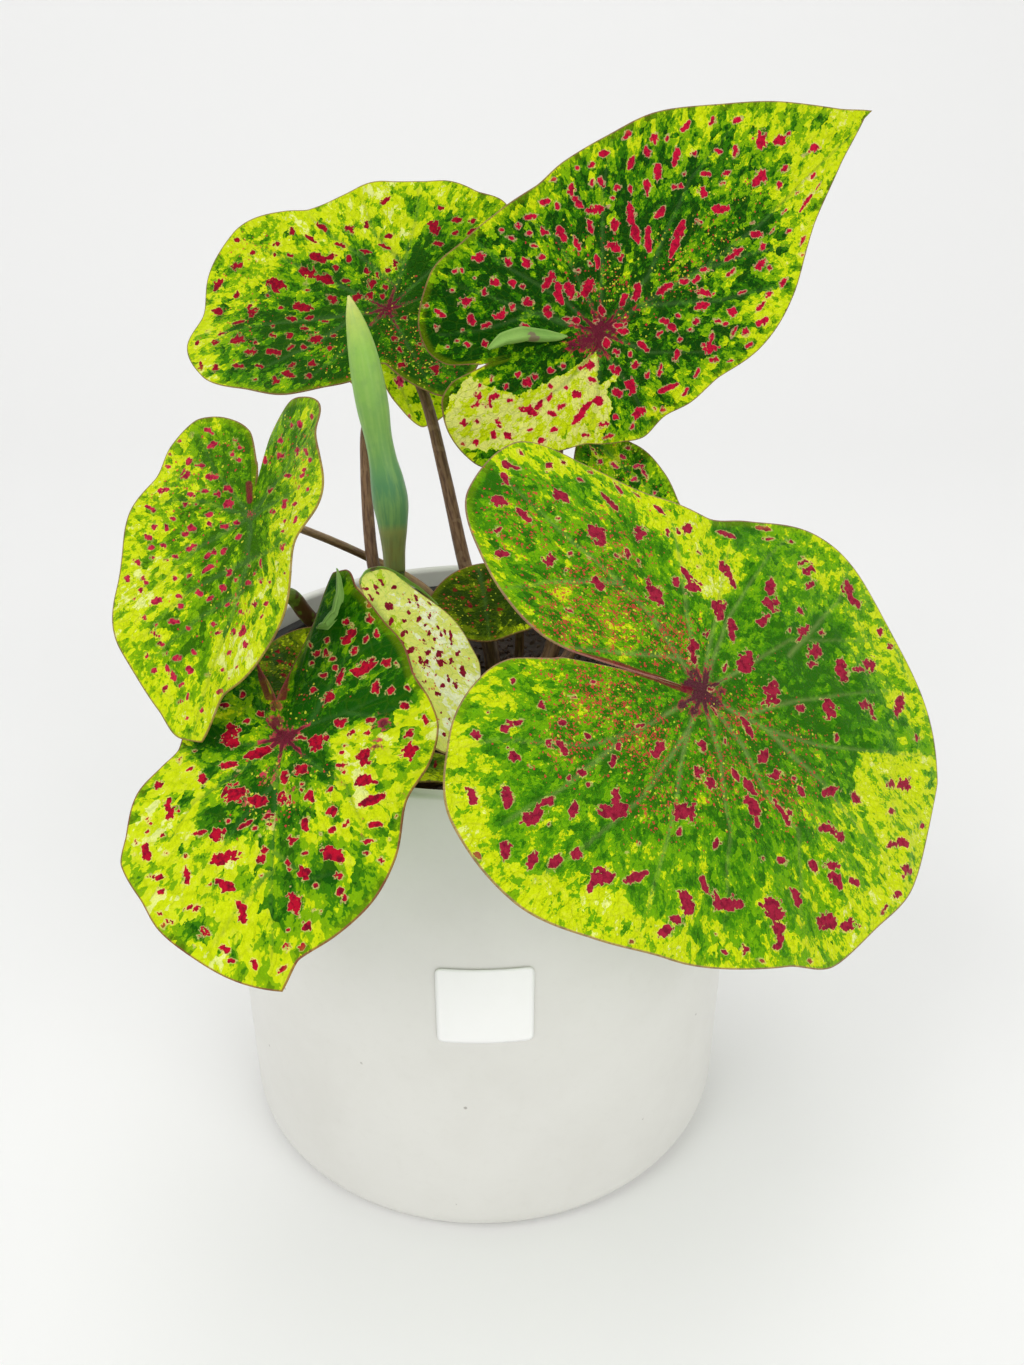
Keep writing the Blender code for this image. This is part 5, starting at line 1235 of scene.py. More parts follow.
@dataclass
class Blade:
    """One leaf's blade: a thin waved sheet with sunk veins, puckers and curled margins."""

    leaf: Leaf
    fold_round: float = 4.0
    bend_span: float = 200.0
    thickness: float = 1.0
    rim: float = 0.35
    least: float = 0.3
    full_depth_at: float = 5.0
    full_relief_at: float = 4.0
    fine_pucker: float = 0.17
    broad_pucker: float = 0.075
    broad_share: float = 1.3
    far: float = 9.0
    flow_power: float = 0.7
    seed_range: int = 97
    under_rows: int = 20
    vein_depth: float = 0.7
    px_per_mm: float = 4.0
    trim: float = 0.9945
    arm_px: float = 34.0
    # shade_px and shade: a band of painted shade beside the veins, its width in pixels and how far it lowers
    # the tone.
    shade_px: float = 9.0
    shade: float = 0.16

    def reach(self, points: Sequence[tuple[float, float]], bearing: np.ndarray) -> np.ndarray:
        """Return the outline's reach at bearings of one side, on a curve through its points."""
        knots, reaches = np.array(points, dtype=float).T
        steps = np.diff(reaches) / np.diff(knots)
        product = steps[:-1] * steps[1:]
        slopes = np.zeros(len(knots))
        slopes[0] = steps[0] if steps[0] < 0.0 else 0.0
        slopes[1:-1] = np.where(product > 0.0, 2.0 * product
                                / np.where(product > 0.0, steps[:-1] + steps[1:], 1.0), 0.0)
        index = np.clip(np.searchsorted(knots, bearing, side="right") - 1, 0, len(knots) - 2)
        span = knots[index + 1] - knots[index]
        t = (bearing - knots[index]) / span
        return ((2 * t ** 3 - 3 * t ** 2 + 1) * reaches[index] + (t ** 3 - 2 * t ** 2 + t) * span
                * slopes[index]
                + (3 * t ** 2 - 2 * t ** 3) * reaches[index + 1] + (t ** 3 - t ** 2) * span
                * slopes[index + 1])

    def outline(self) -> tuple[np.ndarray, np.ndarray]:
        """Return the bearings and reaches of rays that meet the margin at even steps."""
        left_end, right_end = self.leaf.left[-1][0], self.leaf.right[-1][0]
        left = np.linspace(0.0, left_end, 3000)
        right = np.linspace(right_end, 0.0, 3000)
        bearing = np.concatenate([left, 360.0 - right])
        reach = np.concatenate([self.reach(self.leaf.left, left), self.reach(self.leaf.right, right)])
        angle = np.radians(bearing)
        margin = np.stack([reach * np.cos(angle), reach * np.sin(angle)], axis=-1)
        length = np.concatenate([[0.0], np.cumsum(np.linalg.norm(np.diff(margin, axis=0), axis=1))])
        even = np.linspace(0.0, length[-1], self.leaf.rays, endpoint=False)
        return np.interp(even, length, bearing), np.interp(even, length, reach) * self.trim

    def axes(self) -> tuple[np.ndarray, np.ndarray, np.ndarray]:
        """Return the blade's axes: towards the tip, to the left, and up from the upper face."""
        facing, lean, roll = (math.radians(value) for value in (self.leaf.facing, self.leaf.lean,
                                                                self.leaf.roll))
        up = np.array([math.cos(lean) * math.sin(facing), -math.cos(lean) * math.cos(facing), math.sin(lean)])
        level = np.array([math.cos(facing), math.sin(facing), 0.0])
        ahead = level * math.cos(roll) + np.cross(up, level) * math.sin(roll)
        return ahead, np.cross(up, ahead), up

    def surface(self, radius: np.ndarray, bearing: np.ndarray, share: np.ndarray) -> np.ndarray:
        """Return points of the smooth blade, at distances from its junction."""
        leaf, angle = self.leaf, np.radians(bearing)
        ahead, aside = radius * np.cos(angle), radius * np.sin(angle)
        fold = leaf.fold * (np.sqrt(aside ** 2 + self.fold_round ** 2) - self.fold_round)
        droop = np.where(ahead > 0.0, leaf.tip_droop, leaf.lobe_droop)
        bend = (droop * ahead ** 2 + leaf.side_droop * aside ** 2) / self.bend_span
        ripple = leaf.wave * share ** 3 * np.sin(angle * leaf.wave_count)
        height = fold - bend + leaf.twist * ahead * aside / self.bend_span + ripple
        axis_a, axis_l, axis_u = self.axes()
        return (np.array(leaf.junction) + ahead[..., None] * axis_a + aside[..., None] * axis_l
                + height[..., None] * axis_u)

    def grid(self) -> tuple[np.ndarray, ...]:
        """Return the upper face's points, their shares and radii, the rays and the margin distance."""
        bearing, reach = self.outline()
        share = np.linspace(0.0, 1.0, self.leaf.rings + 1)[:, None] * np.ones_like(reach)
        travel = share * reach
        wide = np.broadcast_to(bearing, travel.shape)
        points = self.surface(travel, wide, share)
        angle = np.radians(bearing)
        margin = np.stack([reach * np.cos(angle), reach * np.sin(angle)], axis=-1)
        along = unit(np.roll(margin, -1, axis=0) - np.roll(margin, 1, axis=0))
        outward = np.stack([along[:, 1], -along[:, 0]], axis=-1)
        slant = np.clip(np.abs(np.sum(unit(margin) * outward, axis=1)), 0.12, 1.0)
        edge = (reach - travel) * slant
        return points, share, travel, wide, edge

    def rolled(self, curl: Curl) -> tuple[np.ndarray, list[tuple[int, ...]]]:
        """Return the closed strip of a rolled margin: its points and its faces."""
        knots = np.array(curl.line, dtype=float)
        steps = np.linspace(0.0, len(knots) - 1.0, 41)
        bearing, reach = (np.interp(steps, np.arange(len(knots)), column) for column in knots.T)
        start = self.surface(reach, bearing, reach / 60.0)
        along = unit(np.gradient(start, axis=0))
        lift = unit(self.axes()[2] - along * (along @ self.axes()[2])[:, None])
        outward = np.cross(lift, along)
        size = curl.width * np.sin(np.pi * np.clip(steps / steps[-1], 0.02, 0.98)) ** 0.6
        angle = np.linspace(-0.5, math.radians(curl.turn), 13)[:, None]
        bend = size / math.radians(curl.turn)
        layers = []
        for depth in (0.0, 0.35):
            across, up = (bend - depth) * np.sin(angle), bend - (bend - depth) * np.cos(angle)
            layers.append(start + across[..., None] * outward + up[..., None] * lift)
        points = np.concatenate([layer.reshape(-1, 3) for layer in layers])
        numbers = np.arange(layers[0].shape[0] * len(steps)).reshape(-1, len(steps))
        sheet = np.stack([numbers[:-1, :-1], numbers[:-1, 1:], numbers[1:, 1:], numbers[1:, :-1]],
                         axis=-1).reshape(-1, 4)
        rim = [*numbers[0, :-1], *numbers[:-1, -1], *numbers[-1, :0:-1], *numbers[:0:-1, 0]]
        faces = [tuple(face) for face in sheet.tolist()]
        faces += [tuple(int(number) + numbers.size for number in face[::-1]) for face in sheet.tolist()]
        faces += [(int(b), int(a), int(a) + numbers.size, int(b) + numbers.size) for a,
                  b in zip(rim, rim[1:] + rim[:1])]
        return points, faces

    def normals(self, points: np.ndarray) -> np.ndarray:
        """Return the upper face's normals on the grid."""
        out = np.gradient(points, axis=0)
        round_ = np.roll(points, -1, axis=1) - np.roll(points, 1, axis=1)
        normal = np.cross(out, round_)
        normal[0] = normal[1].mean(axis=0)
        return unit(normal)

    def marks(self, pixels: np.ndarray) -> dict[str, np.ndarray]:
        """Return the markings' values at the picture's pixels.

        Args:
            pixels: where each vertex of the upper face shows.

        Returns:
            A value for each vertex by name: spot, tone, blush, specks, vein, zone and band. The tone is
                darkened beside the veins as painted shade of the folds.
        """
        marks = MARKINGS[self.leaf.name]
        flat = pixels.reshape(-1, 2)
        spot, size = np.full(len(flat), 3.0), np.ones(len(flat))
        for x, y, length, width, turn in marks.spots:
            angle = math.radians(turn)
            away = flat - (x, y)
            near = np.abs(away).max(axis=1) < max(length, width) / 2 + 12.0
            along = (away[near] @ (math.cos(angle), math.sin(angle)))
            across = (away[near] @ (-math.sin(angle), math.cos(angle)))
            ratio = np.hypot(along / (length / 2), across / (width / 2))
            gap = np.hypot(along, across) * (1.0 - 1.0 / np.maximum(ratio, 1e-3))
            gap = np.maximum(gap, -min(length, width) / 2)
            nearer = np.flatnonzero(near)[gap / self.px_per_mm < spot[near]]
            size[nearer] = min(length, width) / 2 / self.px_per_mm
            spot[near] = np.minimum(spot[near], gap / self.px_per_mm)
        tone = self.blobs(flat, marks.tones, True)
        vein, arms, painted_fold_shade = np.zeros((3, len(flat)))
        for line in marks.veins:
            gap, along = line_distance(flat, line)
            wide = 2.9 - 2.0 * along
            vein = np.maximum(vein, np.exp(-(gap / wide) ** 2) * (1.0 - 0.5 * along))
            painted_fold_shade = np.maximum(painted_fold_shade, np.exp(-(gap / self.shade_px) ** 2) * (1.0 - 0.6 * along))
            if marks.arms:
                fade = np.clip(1.25 - np.hypot(*(flat - marks.veins[0][0]).T) / self.arm_px, 0.0, 1.0)
                arms = np.maximum(arms, marks.arms * fade * np.exp(-(gap / 2.6) ** 2))
        # Painted shade: the tone is lowered beside the veins, in place of the shading of the folds there.
        tone = tone - self.shade * painted_fold_shade
        band = np.full(len(flat), self.far)
        for line in marks.bands:
            band = np.minimum(band, line_distance(flat, line)[0] / self.px_per_mm)
        zone = (area_distance(flat, marks.zone) / self.px_per_mm if marks.zone
                else np.full(len(flat), self.far))
        values = {"spot": spot, "spot_size": size, "tone": tone,
                  "blush": np.maximum(arms, self.blobs(flat, marks.blushes)),
                  "specks": self.blobs(flat, marks.specks), "vein": vein, "zone": np.clip(zone, -9, 9),
                  "band": band}
        return {name: value.reshape(pixels.shape[:-1]) for name, value in values.items()}

    def blobs(self, flat: np.ndarray, blobs: Sequence[Blob], weighed: bool = False) -> np.ndarray:
        """Return the strongest soft blob at each pixel, or their weighed mean."""
        total, weights = np.zeros(len(flat)), np.full(len(flat), 1e-9)
        for x, y, radius, strength in blobs:
            near = np.sum((flat - (x, y)) ** 2, axis=1) / radius ** 2
            if weighed:
                weight = np.exp(-np.minimum(near, 40.0)) + 1e-4 / (1.0 + near)
                total += weight * strength
                weights += weight
            else:
                total = np.maximum(total, strength * np.exp(-near))
        return total / weights if weighed else total

    def build(self) -> bpy.types.Object:
        """Make the blade and dress it."""
        leaf = self.leaf
        points, share, travel, wide, edge = self.grid()
        values = self.marks(PICTURE.pixels(points))
        normal = self.normals(points)
        seed = float(sum(map(ord, leaf.name)) % self.seed_range)
        flat = points.reshape(-1, 3)
        shift = Vector((seed, 0.0, 0.0))
        puckers = np.array([noise(Vector(p * self.fine_pucker) + shift)
                            + self.broad_share * noise(Vector(p * self.broad_pucker) + shift) for p in flat])
        inside = (np.clip(edge / self.full_relief_at, 0.0, 1.0)
                  * np.clip(travel / self.full_relief_at, 0.0, 1.0))
        relief = (leaf.pucker * puckers.reshape(share.shape) - self.vein_depth * values["vein"]) * inside
        rows = np.unique(np.linspace(0, leaf.rings, self.under_rows + 1).round().astype(int))
        depth = self.rim + (self.thickness - self.rim) * np.clip(edge / self.full_depth_at, 0.0, 1.0)
        deepest = depth - self.least
        relief = np.where(relief < 0.0, deepest * np.tanh(relief / deepest), relief)
        upper = points + normal * relief[..., None]
        under = points[rows] - normal[rows] * depth[rows][..., None]
        count = leaf.rays
        vertices = np.concatenate([upper[:1, 0], upper[1:].reshape(-1, 3), under[:1, 0],
                                   under[1:].reshape(-1, 3)])
        top = 1 + np.arange(leaf.rings)[:, None] * count + np.arange(count)
        low_centre = 1 + leaf.rings * count
        low = low_centre + 1 + np.arange(len(rows) - 1)[:, None] * count + np.arange(count)
        faces = [(0, int(a), int(b)) for a, b in zip(top[0], np.roll(top[0], -1))]
        faces += self.quads(top[:-1], top[1:])
        faces += [(int(a), int(b), int(c), int(d)) for a, b, c, d in
                  zip(top[-1], low[-1], np.roll(low[-1], -1), np.roll(top[-1], -1))]
        upper_count = len(faces)
        faces += [(low_centre, int(b), int(a)) for a, b in zip(low[0], np.roll(low[0], -1))]
        faces += [face[::-1] for face in self.quads(low[:-1], low[1:])]
        count = len(vertices)
        for curl in leaf.curls:
            points_more, faces_more = self.rolled(curl)
            faces += [tuple(number + len(vertices) for number in face) for face in faces_more]
            vertices = np.concatenate([vertices, points_more])
        indices = np.zeros(len(faces), dtype=np.int32)
        indices[upper_count:] = 1
        piece = make_piece(leaf.name + "_blade_skin", vertices, faces,
                           (FINISHES[leaf.name].build(), UNDERSIDE), indices)
        longest = max(reach for _, reach in leaf.left + leaf.right)
        stretch = longest * (np.maximum(travel, 1e-6) / longest) ** self.flow_power
        angle = np.radians(wide)
        values["flow"] = np.stack([stretch * np.cos(angle), stretch * np.sin(angle),
                                   np.full_like(angle, seed)], axis=-1)
        values["margin"] = np.minimum(edge, self.far)
        for name, value in values.items():
            whole = [value[:1, 0], value[1:].reshape(-1, *value.shape[2:]), value[:1, 0],
                     value[rows][1:].reshape(-1, *value.shape[2:])]
            filler = self.far if name == "margin" else 0.0
            whole.append(np.full((len(vertices) - count, *value.shape[2:]), filler))
            store(piece.data, name, np.concatenate(whole))
        declare(piece, leaf.name + "_blade")
        return piece

    def quads(self, inner: np.ndarray, outer: np.ndarray) -> list[tuple[int, int, int, int]]:
        """Return the faces between neighbouring rings of vertex numbers."""
        stacked = np.stack([inner, outer, np.roll(outer, -1, axis=1), np.roll(inner, -1, axis=1)], axis=-1)
        return [tuple(row) for row in stacked.reshape(-1, 4).tolist()]


class PathTree:
    """A Geometry Nodes tree that sweeps a round skin along a curve with its own radii."""

    def __init__(self) -> None:
        """Build the tree, with its sizes as named inputs."""
        self.tree = bpy.data.node_groups.new("stalk_sweep", "GeometryNodeTree")
        new = self.tree.interface.new_socket
        new("Geometry", in_out="INPUT", socket_type="NodeSocketGeometry")
        self.sides = new("Sides", in_out="INPUT", socket_type="NodeSocketInt").identifier
        self.relief = new("Relief", in_out="INPUT", socket_type="NodeSocketFloat").identifier
        self.skin = new("Skin", in_out="INPUT", socket_type="NodeSocketMaterial").identifier
        new("Geometry", in_out="OUTPUT", socket_type="NodeSocketGeometry")
        wire = Wiring(self.tree)
        given = wire.node("NodeGroupInput").outputs
        path = self.keep(wire, given["Geometry"], "Length", "along")
        ring = wire.node("GeometryNodeCurvePrimitiveCircle")
        wire.feed(ring.inputs["Resolution"], given["Sides"])
        ring.inputs["Radius"].default_value = MM
        profile = self.keep(wire, ring.outputs["Curve"], "Factor", "around")
        sweep = wire.node("GeometryNodeCurveToMesh")
        wire.feed(sweep.inputs["Curve"], path[0])
        wire.feed(sweep.inputs["Profile Curve"], profile[0])
        sweep.inputs["Fill Caps"].default_value = True
        if "Scale" in sweep.inputs:
            wire.feed(sweep.inputs["Scale"], wire.node("GeometryNodeInputRadius").outputs[0])
        bumps = wire.node("ShaderNodeTexNoise")
        bumps.inputs["Scale"].default_value = 240.0
        size = wire.times(wire.math("SUBTRACT", bumps.outputs["Fac"], 0.5), given["Relief"])
        shift = wire.node("ShaderNodeVectorMath", operation="SCALE")
        wire.feed(shift.inputs[0], wire.node("GeometryNodeInputNormal").outputs[0])
        wire.feed(shift.inputs["Scale"], size)
        moved = wire.node("GeometryNodeSetPosition")
        wire.feed(moved.inputs["Geometry"], sweep.outputs["Mesh"])
        wire.feed(moved.inputs["Offset"], shift.outputs[0])
        geometry = moved.outputs[0]
        for name, value, scale in (("along", path[1], 1000.0), ("around", profile[1], 1.0)):
            saved = wire.node("GeometryNodeStoreNamedAttribute", data_type="FLOAT", domain="POINT")
            wire.feed(saved.inputs["Geometry"], geometry)
            saved.inputs["Name"].default_value = name
            wire.feed(saved.inputs["Value"], wire.times(value, scale))
            geometry = saved.outputs[0]
        real = wire.node("GeometryNodeRealizeInstances")
        wire.feed(real.inputs[0], geometry)
        dressed = wire.node("GeometryNodeSetMaterial")
        wire.feed(dressed.inputs["Geometry"], real.outputs[0])
        wire.feed(dressed.inputs["Material"], given["Skin"])
        wire.feed(wire.node("NodeGroupOutput").inputs[0], dressed.outputs[0])

    def keep(self, wire: Wiring, geometry: bpy.types.NodeSocket, output: str,
             name: str) -> tuple[bpy.types.NodeSocket, bpy.types.NodeSocket]:
        """Capture how far along a curve each point is, and return the curve and that value."""
        made = wire.node("GeometryNodeCaptureAttribute", domain="POINT")
        made.capture_items.new("FLOAT", name)
        wire.feed(made.inputs["Geometry"], geometry)
        wire.feed(made.inputs[name], wire.node("GeometryNodeSplineParameter").outputs[output])
        return made.outputs["Geometry"], made.outputs[name]

    def sweep(self, name: str, path: Sequence[Vector], radii: Sequence[float], skin: bpy.types.Material,
              sides: int = 20, relief_mm: float = 0.12) -> bpy.types.Object:
        """Return a plain mesh swept along a path.

        Args:
            name: the piece's name.
            path: the centre line's points in millimetres.
            radii: a radius for each point, in millimetres.
            skin: the material of the result.
            sides: how many sides the round skin has.
            relief_mm: how uneven the skin is.

        Returns:
            The new object, with the attributes along and around.
        """
        data = bpy.data.curves.new(name + "_path", "CURVE")
        data.dimensions = "3D"
        spline = data.splines.new("POLY")
        spline.points.add(len(path) - 1)
        for point, place, radius in zip(spline.points, path, radii):
            point.co = (*(place * MM), 1.0)
            point.radius = radius
        guide = bpy.data.objects.new(name + "_path", data)
        bpy.context.scene.collection.objects.link(guide)
        swept = guide.modifiers.new("Sweep", "NODES")
        swept.node_group = self.tree
        swept[self.sides] = sides
        swept[self.relief] = relief_mm * MM
        swept[self.skin] = skin
        mesh = bpy.data.meshes.new_from_object(guide.evaluated_get(bpy.context.evaluated_depsgraph_get()))
        bpy.data.objects.remove(guide, do_unlink=True)
        bpy.data.curves.remove(data)
        mesh.name = name
        mesh.shade_smooth()
        piece = bpy.data.objects.new(name, mesh)
        bpy.context.scene.collection.objects.link(piece)
        return piece


def smooth_path(points: Sequence[Vector], per_span: int) -> list[Vector]:
    """Return points on a Catmull-Rom curve through the given ones."""
    full = [points[0] * 2.0 - points[1]] + list(points) + [points[-1] * 2.0 - points[-2]]
    path = []
    for a, b, c, d in zip(full, full[1:], full[2:], full[3:]):
        for step in range(per_span):
            t = step / per_span
            path.append(0.5 * ((2.0 * b) + (c - a) * t + (2.0 * a - 5.0 * b + 4.0 * c - d) * t * t
                               + (3.0 * b - a - 3.0 * c + d) * t ** 3))
    return path + [points[-1]]


def tapered(path: Sequence[Vector], radii: tuple[float, float], foot_swell: float) -> list[float]:
    """Return a radius for each point, which tapers along the path and swells at its foot."""
    lengths = [0.0]
    for first, second in zip(path, path[1:]):
        lengths.append(lengths[-1] + (second - first).length)
    return [radii[0] + (radii[1] - radii[0]) * length / lengths[-1] + foot_swell
            * math.exp(-(length / 14.0) ** 2)
            for length in lengths]


@dataclass
class Stalks:
    """The stalks, which rise from the tuber to their blades and to the flower bud."""

    tuber_centre: float = 97.0
    tuber_radius: float = 19.5
    tuber_half_height: float = 12.0
    soil_top: float = 122.0
    straight: float = 4.0
    seat: float = 7.0
    gap: float = 0.3
    blade_thickness: float = 0.8
    per_span: int = 14
    foot_swell: float = 0.25
    tree: PathTree = field(default_factory=PathTree)

    def start(self, base: tuple[float, float], radius: float) -> list[Vector]:
        """Return the points from the tuber straight up out of the soil."""
        share = min(max(0.0, math.hypot(*base) - radius) / self.tuber_radius, 1.0)
        foot = self.tuber_centre + self.tuber_half_height * math.sqrt(1.0 - share * share) + 2.0 * self.gap
        top = self.soil_top + self.straight
        return [Vector((*base, foot + (top - foot) * step / 8)) for step in range(9)]

    def build_leaf(self, leaf: Leaf) -> bpy.types.Object:
        """Make a leaf's stalk, which seats on the underside of its blade."""
        up = Vector(Blade(leaf).axes()[2])
        junction = Vector(leaf.junction)
        path = self.start(leaf.base, leaf.radii[0])
        bends = [path[-1]] + [Vector(point) for point in leaf.route] + [junction - up * self.seat]
        path += smooth_path(bends, self.per_span)[1:] + [junction - up * (self.blade_thickness + self.gap)]
        return self.finish(leaf.name + "_stalk_skin", path, leaf.radii, leaf.stalk_slot, leaf.name + "_stalk")

    def finish(self, name: str, path: Sequence[Vector], radii: tuple[float, float], slot: Slot,
               node: str) -> bpy.types.Object:
        skin = PALE_STALK if name.startswith(PALE_STALKS) else STALK_SKINS[slot]
        piece = self.tree.sweep(name, path, tapered(path, radii, self.foot_swell), skin)
        declare(piece, node)
        return piece


STALK_SKINS = {slot: finish.build() for slot, finish in STALK_FINISHES.items()}
PALE_STALKS = ("leaf_left", "leaf_cream")
PALE_STALK = StalkFinish("stalk_pale_skin", paint(170, 138, 98), paint(128, 98, 66),
                         paint(150, 150, 84)).build()


@dataclass
class FlowerBud:
    """The flower bud: a hood rolled round itself, narrowed at its waist, on its own stalk."""

    spine: tuple[tuple[float, float, float], ...] = (
        (-23.4, 18.0, 152.0), (-24.2, 22.0, 170.0), (-27.1, 25.8, 187.0), (-30.6, 30.3, 208.0),
                                                     (-33.7, 33.0, 221.5))
    radii: tuple[float, ...] = (2.8, 3.2, 4.1, 4.9, 4.6, 3.9, 3.8, 4.4, 4.4, 3.9, 3.1, 2.1, 0.5)
    stalk_base: tuple[float, float] = (-6.0, 7.0)
    stalk_route: tuple[tuple[float, float, float], ...] = ((-9.0, 9.0, 131.0), (-17.0, 14.0, 141.0))
    stalk_radii: tuple[float, float] = (2.4, 2.6)
    sides: int = 72
    rows: int = 96
    seam_bearing: float = -118.0
    lap: float = 0.4

    def build(self, stalks: Stalks) -> None:
        """Make the hood and its stalk."""
        centre = smooth_path([Vector(point) for point in self.spine], 3)
        self.hood(centre)
        toward = (centre[1] - centre[0]).normalized()
        path = stalks.start(self.stalk_base, self.stalk_radii[0])
        bends = [path[-1]] + [Vector(point) for point in self.stalk_route] + [centre[0] - toward
                                                                              * stalks.seat]
        path += smooth_path(bends, stalks.per_span)[1:] + [centre[0] - toward * stalks.gap]
        stalks.finish("flower_stalk_skin", path, self.stalk_radii, Slot.GREEN_STALK, "flower_stalk")

    def hood(self, centre: Sequence[Vector]) -> bpy.types.Object:
        """Make the rolled hood, with the lap of its free edge.

        Args:
            centre: points of its centre line, one for each radius.
        """
        knots = np.array(centre)
        steps = np.linspace(0.0, len(knots) - 1, self.rows)
        line = np.stack([self.curve(knots[:, axis], steps) for axis in range(3)], axis=-1)
        radius = np.maximum(self.curve(np.array(self.radii), steps), 0.5)
        ahead = unit(np.gradient(line, axis=0))
        side = unit(np.cross(ahead, np.array([0.0, 1.0, 0.0])))
        back = np.cross(ahead, side)
        turn = np.linspace(0.0, 1.0, self.sides, endpoint=False)
        share = np.linspace(0.0, 1.0, self.rows)[:, None]
        lap = self.lap * np.clip((share - 0.02) * 6.0, 0.0, 1.0)
        swell = 1.0 + np.where(turn < 0.06, -turn / 0.06, -1.0 + (turn - 0.06) / 0.94)[None,
                                                                                       :] * (lap
                                                                                             / radius[:,
                                                                                                      None])
        swell += 0.012 * np.sin(turn * 2 * math.pi * 7.0 + share * 3.0)
        angle = np.radians(self.seam_bearing) + turn * 2.0 * math.pi + 0.5 * share
        points = (line[:, None] + (radius[:, None] * swell * np.cos(angle))[..., None] * side[:, None]
                  + (radius[:, None] * swell * np.sin(angle))[..., None] * back[:, None])
        numbers = np.arange(self.rows * self.sides).reshape(self.rows, self.sides)
        faces = [tuple(row) for row in np.stack([numbers[:-1], np.roll(numbers[:-1], -1, 1),
                                                 np.roll(numbers[1:], -1, 1),
                                                 numbers[1:]], axis=-1).reshape(-1, 4).tolist()]
        ends = np.array([line[0], line[-1]])
        foot, tip = self.rows * self.sides, self.rows * self.sides + 1
        faces += [(foot, int(b), int(a)) for a, b in zip(numbers[0], np.roll(numbers[0], -1))]
        faces += [(tip, int(a), int(b)) for a, b in zip(numbers[-1], np.roll(numbers[-1], -1))]
        piece = make_piece("flower_bud_hood", np.concatenate([points.reshape(-1, 3), ends]), faces,
                           (BudFinish().build(),))
        along = np.concatenate([np.broadcast_to(share, (self.rows, self.sides)).ravel(), [0.0, 1.0]])
        around = np.concatenate([np.broadcast_to(turn, (self.rows, self.sides)).ravel(), [0.0, 0.0]])
        store(piece.data, "along", along)
        store(piece.data, "around", around)
        flip_inward(piece)
        declare(piece, "flower_bud")
        return piece

    def curve(self, values: np.ndarray, steps: np.ndarray) -> np.ndarray:
        """Return a smooth curve through values at whole steps."""
        before = np.clip(np.floor(steps).astype(int), 0, len(values) - 2)
        share = steps - before
        padded = np.concatenate([[2 * values[0] - values[1]], values, [2 * values[-1] - values[-2]]])
        a, b, c, d = (padded[before + shift] for shift in range(4))
        return 0.5 * (2 * b + (c - a) * share + (2 * a - 5 * b + 4 * c - d) * share ** 2
                      + (3 * b - a - 3 * c + d) * share ** 3)


def flip_inward(piece: bpy.types.Object) -> None:
    """Turn a closed mesh's faces outwards where they point inwards."""
    mesh = piece.data
    mesh.calc_loop_triangles()
    volume = sum(Vector(mesh.vertices[t.vertices[0]].co).dot(
        Vector(mesh.vertices[t.vertices[1]].co).cross(Vector(mesh.vertices[t.vertices[2]].co)))
                 for t in mesh.loop_triangles)
    if volume < 0.0:
        mesh.flip_normals()


def turned_piece(name: str, profile: Sequence[tuple[float, float]], sectors: int,
                 material: bpy.types.Material,
                 lift: Optional[object] = None) -> bpy.types.Object:
    """Turn a profile that starts and ends on the axis into a closed mesh.

    Args:
        name: the piece's name.
        profile: (radius, height) points in millimetres.
        sectors: how many steps there are round the axis.
        material: the piece's material.
        lift: a function of x, y and the row that returns how far a point is raised.

    Returns:
        The new object, with its faces outwards.
    """
    points = [(0.0, 0.0, profile[0][1]), (0.0, 0.0, profile[-1][1])]
    inner = profile[1:-1]
    for row, (radius, height) in enumerate(inner):
        for sector in range(sectors):
            angle = 2.0 * math.pi * sector / sectors
            x, y = radius * math.cos(angle), radius * math.sin(angle)
            points.append((x, y, height + (lift(x, y, row) if lift else 0.0)))
    numbers = 2 + np.arange(len(inner) * sectors).reshape(len(inner), sectors)
    faces = [tuple(row) for row in np.stack([numbers[:-1], numbers[1:], np.roll(numbers[1:], -1, 1),
                                             np.roll(numbers[:-1], -1, 1)], axis=-1).reshape(-1, 4).tolist()]
    faces += [(0, int(a), int(b)) for a, b in zip(numbers[0], np.roll(numbers[0], -1))]
    faces += [(1, int(b), int(a)) for a, b in zip(numbers[-1], np.roll(numbers[-1], -1))]
    piece = make_piece(name, np.array(points), faces, (material,))
    flip_inward(piece)
    return piece


def arc(centre: tuple[float, float], radius: float, start: float, end: float,
        steps: int) -> list[tuple[float, float]]:
    """Return points on an arc in the profile plane, from one angle to another in degrees."""
    angles = [math.radians(start + (end - start) * i / steps) for i in range(steps + 1)]
    return [(centre[0] + radius * math.cos(a), centre[1] + radius * math.sin(a)) for a in angles]


